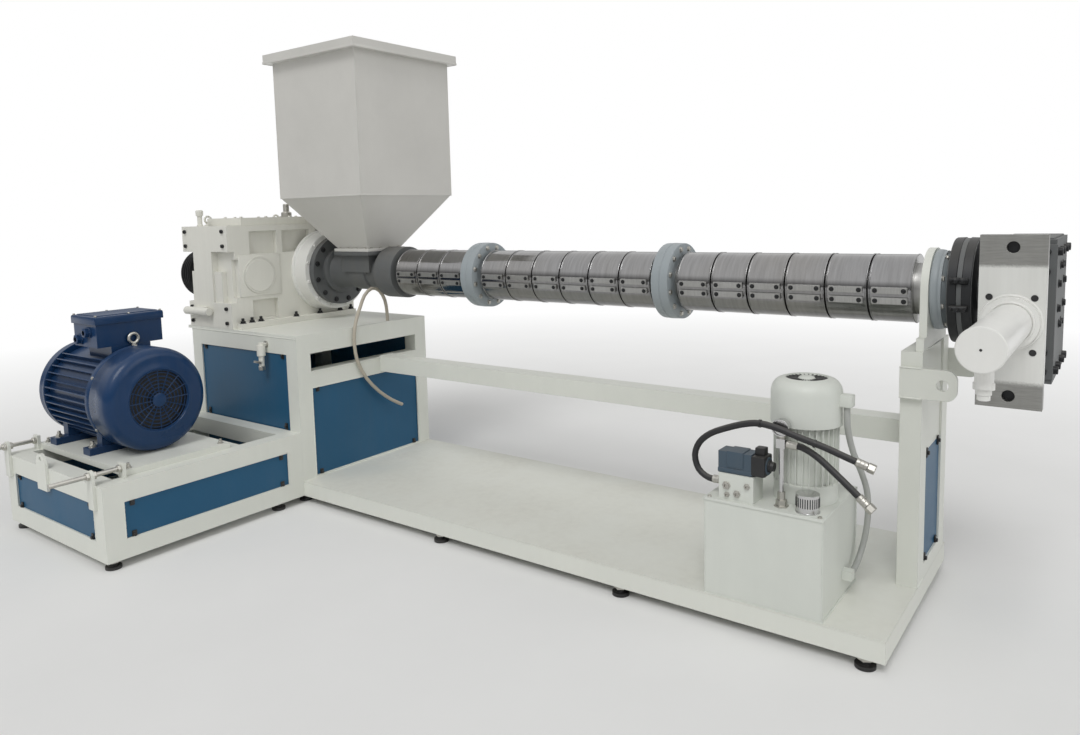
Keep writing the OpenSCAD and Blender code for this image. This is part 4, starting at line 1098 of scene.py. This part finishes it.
# %% [markdown]
# ## Joint flanges
# Two pairs of flanges join the barrel's lengths. The seam between the halves and their broken edges
# are one profile, used at both joints.

# %% Joint flange rims
bm = bmesh.new()
for x in JOINTS:
    add_turned(bm, on_axis(x - 2), X_AXIS,
               [(0, 120), (0, 164), (2, 171), (38, 172.5), (40.5, 170), (43.5, 170), (46, 172.5),
                (82, 171), (84, 164), (84, 120)], 80)
made("joint_flange_rims", bm, flange_grey, smooth_angle=30)

# %% [markdown]
# ## End flange
# The barrel's last flange is dished towards the adapter. A few points of the profile give the dish
# its curve.

# %% End flange
bm = bmesh.new()
add_turned(bm, on_axis(3000), X_AXIS,
           [(0, 146), (3, 150), (14, 151), (26, 149), (40.5, 134), (52, 121), (66.5, 119),
            (66.5, 80)], 72)
made("end_flange_dish", bm, flange_grey)

# %% [markdown]
# ## Heated adapter
# A thick black ring with a groove between its bands heats the adapter. Its terminals are rods
# across the bands, with studs and nuts on top.

# %% Heated adapter
bm = bmesh.new()
add_turned(bm, on_axis(3065), X_AXIS,
           [(0, 190), (3, 195), (30, 196), (33, 192), (47, 192), (50, 196), (77, 195), (81, 190),
            (81, 70)], 72)
for angle in (-0.25, 0.25, 2.6, 3.4):
    out = round_way(-Y_AXIS, Z_AXIS, angle)
    place = on_axis(3105) + out * 200 * MM
    add_rod(bm, place - X_AXIS * 30 * MM, place + X_AXIS * 30 * MM, 12, 2, 16)
made("adapter_bands", bm, black_steel)
adapter_screws = []
for angle in (-0.25, 0.25):
    out = round_way(-Y_AXIS, Z_AXIS, angle)
    for dx in (-22, 0, 22):
        adapter_screws.append((on_axis(3105 + dx) + out * 210 * MM, out, 7 * MM))
copies("adapter_screws", stud_nut, adapter_screws, black_steel)

# %% [markdown]
# ## Hydraulic cylinder
# The cylinder that moves the screens is welded to its plate by a collar and has its oil port below.
# The plate's small holes are black discs of painted shade, because their depth isn't seen.

# %% Hydraulic cylinder
CHANGER_X, CHANGER_MID, CHANGER_END, PLATE_Y, SLIDE_H = 3214.0, 3304.5, 3395.0, 150.0, 1174.0
bm = bmesh.new()
add_ring(bm, at(CHANGER_MID, PLATE_Y, SLIDE_H), -Y_AXIS, 82, 5, 64, 8)
add_ring(bm, at(CHANGER_MID, PLATE_Y - 24, SLIDE_H), -Y_AXIS, 63, 4.5, 64, 8)
add_turned(bm, at(CHANGER_MID, PLATE_Y - 560, SLIDE_H), -Y_AXIS,
           [(0, 59.3), (5, 60.2), (9, 60), (11.5, 57.5), (11.5, 0)], 56)
add_turned(bm, at(CHANGER_MID, PLATE_Y - 500, SLIDE_H - 106), -Z_AXIS,
           [(-54, 23), (-12, 23), (-10, 26), (6, 26), (8, 19), (20, 19), (22, 16), (34, 16), (36, 12),
            (36, 0)], 28)
made("cylinder_trim", bm, housing_white)

# Painted shade: black discs stand for the shade inside the plate's four holes and a small hole in the
# cylinder's end.
bm = bmesh.new()
for x, z in ((CHANGER_X + 30, SLIDE_H + 76), (CHANGER_X + 151, SLIDE_H + 76),
             (CHANGER_X + 151, SLIDE_H - 90), (CHANGER_X + 30, SLIDE_H - 90)):
    add_turned(bm, at(x, PLATE_Y - 0.8, z), -Y_AXIS, [(0, 0), (0, 10), (0.5, 10), (0.5, 0)], 24)
add_turned(bm, at(CHANGER_MID, PLATE_Y - 571.6, SLIDE_H), -Y_AXIS,
           [(0, 0), (0, 3.5), (0.5, 3.5), (0.5, 0)], 16)
made("plate_small_holes", bm, black_plastic)

# %% [markdown]
# ## Screen changer
# Cover plates close the changer's body, and socket screws hold them. Most of it is hidden in the
# photograph, so it has only what such a body needs.

# %% Screen changer
bm = bmesh.new()
add_block(bm, (CHANGER_X - 3, 449, 950), (CHANGER_X + 184, 456, 1398), 3)
add_block(bm, (CHANGER_X + 10, 470, 1408), (CHANGER_X + 171, 880, 1419), 4)
made("changer_covers", bm, cast_grey)
changer_bolts = [(at(CHANGER_X + x, 449, z), -Y_AXIS, 14 * MM) for x in (28, 153)
                 for z in (975, 1040, 1308, 1374)]
changer_bolts += [(at(CHANGER_END, y, z), X_AXIS, 14 * MM) for y in (500, 600, 750, 850)
                  for z in (975, 1373)]
copies("changer_bolts", cap_screw, changer_bolts, black_steel)
copies("die_face_bolts", hex_bolt, circle(on_axis(CHANGER_END), X_AXIS, 110, 8, 12), black_steel)

# %% [markdown]
# ## Pump motor cover
# The pump's motor stands upright under a round vented cover, which takes the place of the CAD's.
# Black rods of painted shade stand for the vent slots, in a ring around its middle.

# %% Pump motor
PUMP_X, PUMP_Y, TANK_TOP = 2665.0, 208.0, 486.0
PUMP_COVER_Z = 766.0
GAUGE_X, GAUGE_H = 2628.0, 774.0
bm = bmesh.new()
cover = [(0, 118), (0, 125), (110, 125)]
for k in range(1, 8):
    angle = math.pi / 2 * k / 7
    cover.append((110 + 52 * math.sin(angle), 85 + 40 * math.cos(angle)))
cover += [(165, 80), (165, 74), (158, 72), (158, 30), (164, 28), (168, 20), (168, 0)]
add_turned(bm, at(PUMP_X, PUMP_Y, PUMP_COVER_Z), Z_AXIS, cover, 80)
add_block(bm, (2774, 186, 838), (2830, 230, 882), 5)
pump_cover = made("pump_fan_cover", bm, tank_white, smooth_angle=50)
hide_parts("pump_motor_cover")

# Painted shade: black rods stand for the shade inside the cover's vent slots.
bm = bmesh.new()
for k in range(28):
    out = round_way(X_AXIS, Y_AXIS, math.tau * k / 28)
    start = at(PUMP_X, PUMP_Y, PUMP_COVER_Z + 160)
    add_rod(bm, start + out * 32 * MM, start + out * 72 * MM, 1.8, 0.4, 6)
made("pump_cover_slots", bm, black_plastic)

# %% [markdown]
# ## Pump flange and tank bolts
# The motor's flange is bolted to the tank's lid, and bolts near the corners hold the lid down. The
# flange's groove is part of its profile.

# %% Pump flange
bm = bmesh.new()
add_turned(bm, at(PUMP_X, PUMP_Y, TANK_TOP), Z_AXIS,
           [(0, 113), (14, 113), (16, 111.8), (56, 111.8), (58, 113), (70, 113), (72, 104)], 64)
made("pump_flange_ring", bm, tank_white)
pump_bolts = circle(at(PUMP_X, PUMP_Y, TANK_TOP + 16), Z_AXIS, 101, 4, 8)
pump_bolts += [(at(x, y, TANK_TOP), Z_AXIS, 7 * MM) for x in (2372, 2776) for y in (22, 394)]
pump_bolts += [(at(x, y, TANK_TOP), Z_AXIS, 7 * MM) for x in (2574,) for y in (394,)]
copies("tank_bolts", hex_bolt, pump_bolts, zinc)

# %% [markdown]
# ## Tank seams
# The oil tank is folded and welded. Beads run up its corners and along its foot, and a thin rim
# lies around its lid.

# %% Tank seams
bm = bmesh.new()
for x in (2358, 2790):
    for y in (8, 408):
        add_weld(bm, at(x, y, 122), at(x, y, 476), 2.6)
add_block(bm, (2354, 4, 476), (2794, 412, 487), 2)
add_weld(bm, at(2356, 6, 121), at(2792, 6, 121), 3)
add_weld(bm, at(2792, 6, 121), at(2792, 410, 121), 3)
made("tank_seams", bm, tank_white)

# %% [markdown]
# ## Valve block
# A drilled block carries the valve, and hexagon plugs close its ports. The valve is a grey body
# beside a black coil with its plug.

# %% Valve block
bm = bmesh.new()
for x, z, r in ((2438, 540, 13), (2478, 514, 11), (2516, 548, 9), (2440, 506, 8)):
    add_turned(bm, at(x, 22, z), -Y_AXIS, [(0, r + 3), (3, r + 3), (4, r), (9, r), (9, r * 0.5),
                                           (4, r * 0.5), (4, 0)], 6)
add_turned(bm, at(GAUGE_X, 60, TANK_TOP), Z_AXIS,
           [(0, 26), (6, 26), (8, 20), (26, 20), (28, 14), (54, 14), (56, 10)], 6)
add_turned(bm, at(GAUGE_X, 60, GAUGE_H - 50), Z_AXIS, [(0, 12), (4, 14), (20, 14), (22, 10)], 6)
made("manifold_plugs", bm, zinc)

bm = bmesh.new()
add_block(bm, (2402, 26, 586), (2532, 100, 602), 2)
add_block(bm, (2436, 24, 606), (2500, 102, 668), 5)
made("valve_body", bm, valve_grey)
bm = bmesh.new()
add_block(bm, (2528, 24, 588), (2580, 102, 662), 8)
add_turned(bm, at(2580, 63, 624), X_AXIS, [(0, 22), (8, 22), (10, 18), (22, 16), (22, 0)], 24)
add_block(bm, (2536, 44, 660), (2572, 82, 690), 5)
made("valve_coil", bm, black_plastic)
valve_screws = [(at(x, y, 602), Z_AXIS, 5.5 * MM) for x in (2414, 2518) for y in (36, 90)]
copies("valve_screws", cap_screw, valve_screws, zinc)

# %% [markdown]
# ## Pressure gauge
# The gauge stands on its pipe. Its chrome case, white dial and dark marks are separate pieces,
# because each has its own finish. It has marks and a hand, but no figures.

# %% Pressure gauge
bm = bmesh.new()
add_turned(bm, at(GAUGE_X, 77, GAUGE_H), -Y_AXIS,
           [(0, 0), (0, 26), (2, 29), (28, 29), (34, 31), (37, 30), (37, 26), (32, 25)], 48)
made("gauge_case", bm, chrome)
bm = bmesh.new()
add_turned(bm, at(GAUGE_X, 45, GAUGE_H), -Y_AXIS, [(0, 0), (0, 25.5), (0.6, 25.5), (0.6, 0)], 40)
made("gauge_dial", bm, dial_white)
bm = bmesh.new()
for k in range(9):
    out = round_way(X_AXIS, Z_AXIS, math.radians(225 - k * 33.75))
    start = at(GAUGE_X, 44.2, GAUGE_H)
    add_rod(bm, start + out * 18 * MM, start + out * 23 * MM, 0.8, 0.1, 6)
add_rod(bm, at(GAUGE_X, 43.6, GAUGE_H), at(GAUGE_X - 13, 43.6, GAUGE_H - 14), 0.9, 0.1, 6)
add_rod(bm, at(GAUGE_X, 44.4, GAUGE_H), at(GAUGE_X, 42.6, GAUGE_H), 3, 0.4, 14)
made("gauge_marks", bm, black_plastic)

# %% [markdown]
# ## Filler cap
# The filler cap is chromed, with grip ribs around it. One small rod is enough, because the node
# tree copies it around the cap.

# %% Filler cap
bm = bmesh.new()
FILLER = at(2722, 58, TANK_TOP)
add_turned(bm, FILLER, Z_AXIS, [(0, 42), (5, 42), (6, 36), (20, 36), (21, 39), (58, 39), (64, 35),
                                (67, 26), (67, 0)], 48)
made("filler_cap_body", bm, chrome)
bm = bmesh.new()
raised(bm, [(0, 0), (0, 1), (7.6, 1), (8, 0.7), (8, 0)], 8)
grip_rib = small_piece("grip_rib", bm)
ribs = []
for k in range(30):
    out = round_way(X_AXIS, Y_AXIS, math.tau * k / 30)
    ribs.append((FILLER + out * 39 * MM + Z_AXIS * 23 * MM, Z_AXIS, (2.2 * MM, 2.2 * MM, 4.2 * MM)))
copies("filler_cap_ribs", grip_rib, ribs, black_steel, slot="plated_steel")

# %% [markdown]
# ## Frame welds
# The tubes are welded where they meet. Each weld is given by its two ends in the drawing's
# millimetres, and the bead takes its ripples from its length.

# %% Welds
WELDS = (
    ((0, 588, 628), (0, 692, 628)), ((2, 588, 628), (2, 588, 718)), ((0, 588, 719), (0, 692, 719)),
    ((2924, 588, 628), (2924, 588, 718)), ((2924, 588, 719), (2924, 692, 719)),
    ((2926, 440, 840), (3000, 440, 840)), ((2926, 440, 952), (3000, 440, 952)),
    ((2927, 458, 121), (2999, 458, 121)), ((3000, 460, 121), (3000, 556, 121)),
    ((2926, 460, 121), (2926, 556, 121)),
    ((3000, 520, 1008), (3000, 830, 1008)), ((2973, 518, 1008), (2973, 832, 1008)),
    ((-910, -1054, 130), (-910, -1054, 300)), ((-90, -1054, 130), (-90, -1054, 300)),
    ((0, -964, 130), (0, -964, 300)), ((0, -90, 130), (0, -90, 300)),
    ((0, 90, 130), (0, 90, 620)), ((0, 885, 130), (0, 885, 620)), ((0, 92, 620), (0, 883, 620)),
    ((0, 92, 710), (0, 883, 710)), ((0, 0, 118), (0, 975, 118)), ((-1000, 0, 900), (0, 0, 900)),
)
bm = bmesh.new()
for start, end in WELDS:
    add_weld(bm, at(*start), at(*end), 3.0)
made("frame_welds", bm, frame_white, smooth_angle=70)

# %% [markdown]
# ## Levelling feet
# Nuts lock the levelling feet under the stands. They are the last copies, so the small pieces are
# removed after them.

# %% Levelling feet
feet = [(-955, -1009), (-45, -1009), (-955, 45), (-45, 45), (-955, 930), (-45, 930)]
foot_nuts = [(at(x, y, 26), Z_AXIS, (24 * MM, 24 * MM, 14 * MM)) for x, y in feet]
foot_nuts += [(at(3000 * part, y, 26), Z_AXIS, (24 * MM, 24 * MM, 14 * MM))
              for part in (0.33, 0.66, 0.9767) for y in (30, 945)]
copies("foot_lock_nuts", plain_nut, foot_nuts, zinc)

for thing in small_pieces:
    bpy.data.objects.remove(thing)

# %% [markdown]
# ## Studio floor
# A pale floor catches the machine's shadow and fades into a white surround, so that no horizon
# shows. It belongs to the stage and not to the machine.

# %% Floor
def floor_finish():
    material = bpy.data.materials.new("studio_floor")
    material.use_nodes = True
    tree = material.node_tree
    tree.nodes.clear()
    place = wire(tree, "ShaderNodeTexCoord").outputs["Object"]
    far = wire(tree, "ShaderNodeVectorMath", {0: place}, operation="LENGTH").outputs["Value"]
    noise = wire(tree, "ShaderNodeTexNoise", {"Vector": place, "Scale": 1.4, "Detail": 4.0}).outputs[0]
    colour = mix_colour(tree, noise, (0.80, 0.80, 0.79, 1.0), (0.86, 0.86, 0.85, 1.0))
    pale = wire(tree, "ShaderNodeBsdfDiffuse", {"Color": colour})
    white = wire(tree, "ShaderNodeEmission", {"Color": (1, 1, 1, 1), "Strength": 1.0})
    path = wire(tree, "ShaderNodeLightPath").outputs
    seen = math_node(tree, "MAXIMUM", path["Is Camera Ray"], path["Is Glossy Ray"])
    fade = times(tree, ramp(tree, far, 3.4, 9.0), seen)
    mixed = wire(tree, "ShaderNodeMixShader", {0: fade, 1: pale.outputs[0], 2: white.outputs[0]})
    result = wire(tree, "ShaderNodeOutputMaterial")
    tree.links.new(mixed.outputs[0], result.inputs["Surface"])
    return material


floor_mesh = bpy.data.meshes.new("studio_floor")
FLOOR = 40.0
corners = [(-FLOOR, -FLOOR, 0), (FLOOR, -FLOOR, 0), (FLOOR, FLOOR, 0), (-FLOOR, FLOOR, 0)]
floor_mesh.from_pydata(corners, [], [(0, 1, 2, 3)])
floor_mesh.materials.append(floor_finish())
floor = bpy.data.objects.new("studio_floor", floor_mesh)
bpy.context.scene.collection.objects.link(floor)
floor.location.z = -0.0005
print("The floor is", 2 * FLOOR, "m wide")

# %% [markdown]
# ## White surround
# Soft light comes from all around, at a plain level. Polished metal would look like white paint in
# it, so mirrors see a darker wall near the horizon, as they do in a hall.

# %% Surround
world = bpy.data.worlds.new("studio")
bpy.context.scene.world = world
world.use_nodes = True
tree = world.node_tree
background = tree.nodes["Background"]
path = wire(tree, "ShaderNodeLightPath").outputs
shown = math_node(tree, "MAXIMUM", path["Is Camera Ray"],
                  math_node(tree, "MAXIMUM", path["Is Glossy Ray"], path["Is Transmission Ray"]))
SURROUND = 0.50
HALL_DARK = 0.22
level = wire(tree, "ShaderNodeMapRange", {"Value": shown, "To Min": SURROUND, "To Max": 1.0}).outputs[0]
looking = wire(tree, "ShaderNodeTexCoord").outputs["Generated"]
upward = wire(tree, "ShaderNodeSeparateXYZ", {0: looking}).outputs[2]
shelves = math_node(tree, "SUBTRACT", 1.0, ramp(tree, upward, 0.10, 0.42))
darkened = times(tree, times(tree, shelves, 1.0 - HALL_DARK), path["Is Glossy Ray"])
level = times(tree, level, math_node(tree, "SUBTRACT", 1.0, darkened))
tree.links.new(level, background.inputs["Strength"])
background.inputs["Color"].default_value = (1, 1, 1, 1)

# %% [markdown]
# ## Two soft suns
# A wide sun from the front and a weaker one from the side give the blocks their shape. Lamps near
# the machine would light its ends unevenly.

# %% Suns
for name, direction, strength, spread in (("key", (0.25, -0.75, 1.0), 1.15, 28),
                                          ("side", (1.0, 0.25, 0.5), 0.35, 40)):
    lamp = bpy.data.lights.new(name, "SUN")
    lamp.energy = strength
    lamp.angle = math.radians(spread)
    sun = bpy.data.objects.new(name, lamp)
    bpy.context.scene.collection.objects.link(sun)
    sun.rotation_euler = Vector(direction).to_track_quat("Z", "Y").to_euler()
    print("The", name, "sun has strength", strength)

bpy.context.scene.view_settings.view_transform = "Standard"
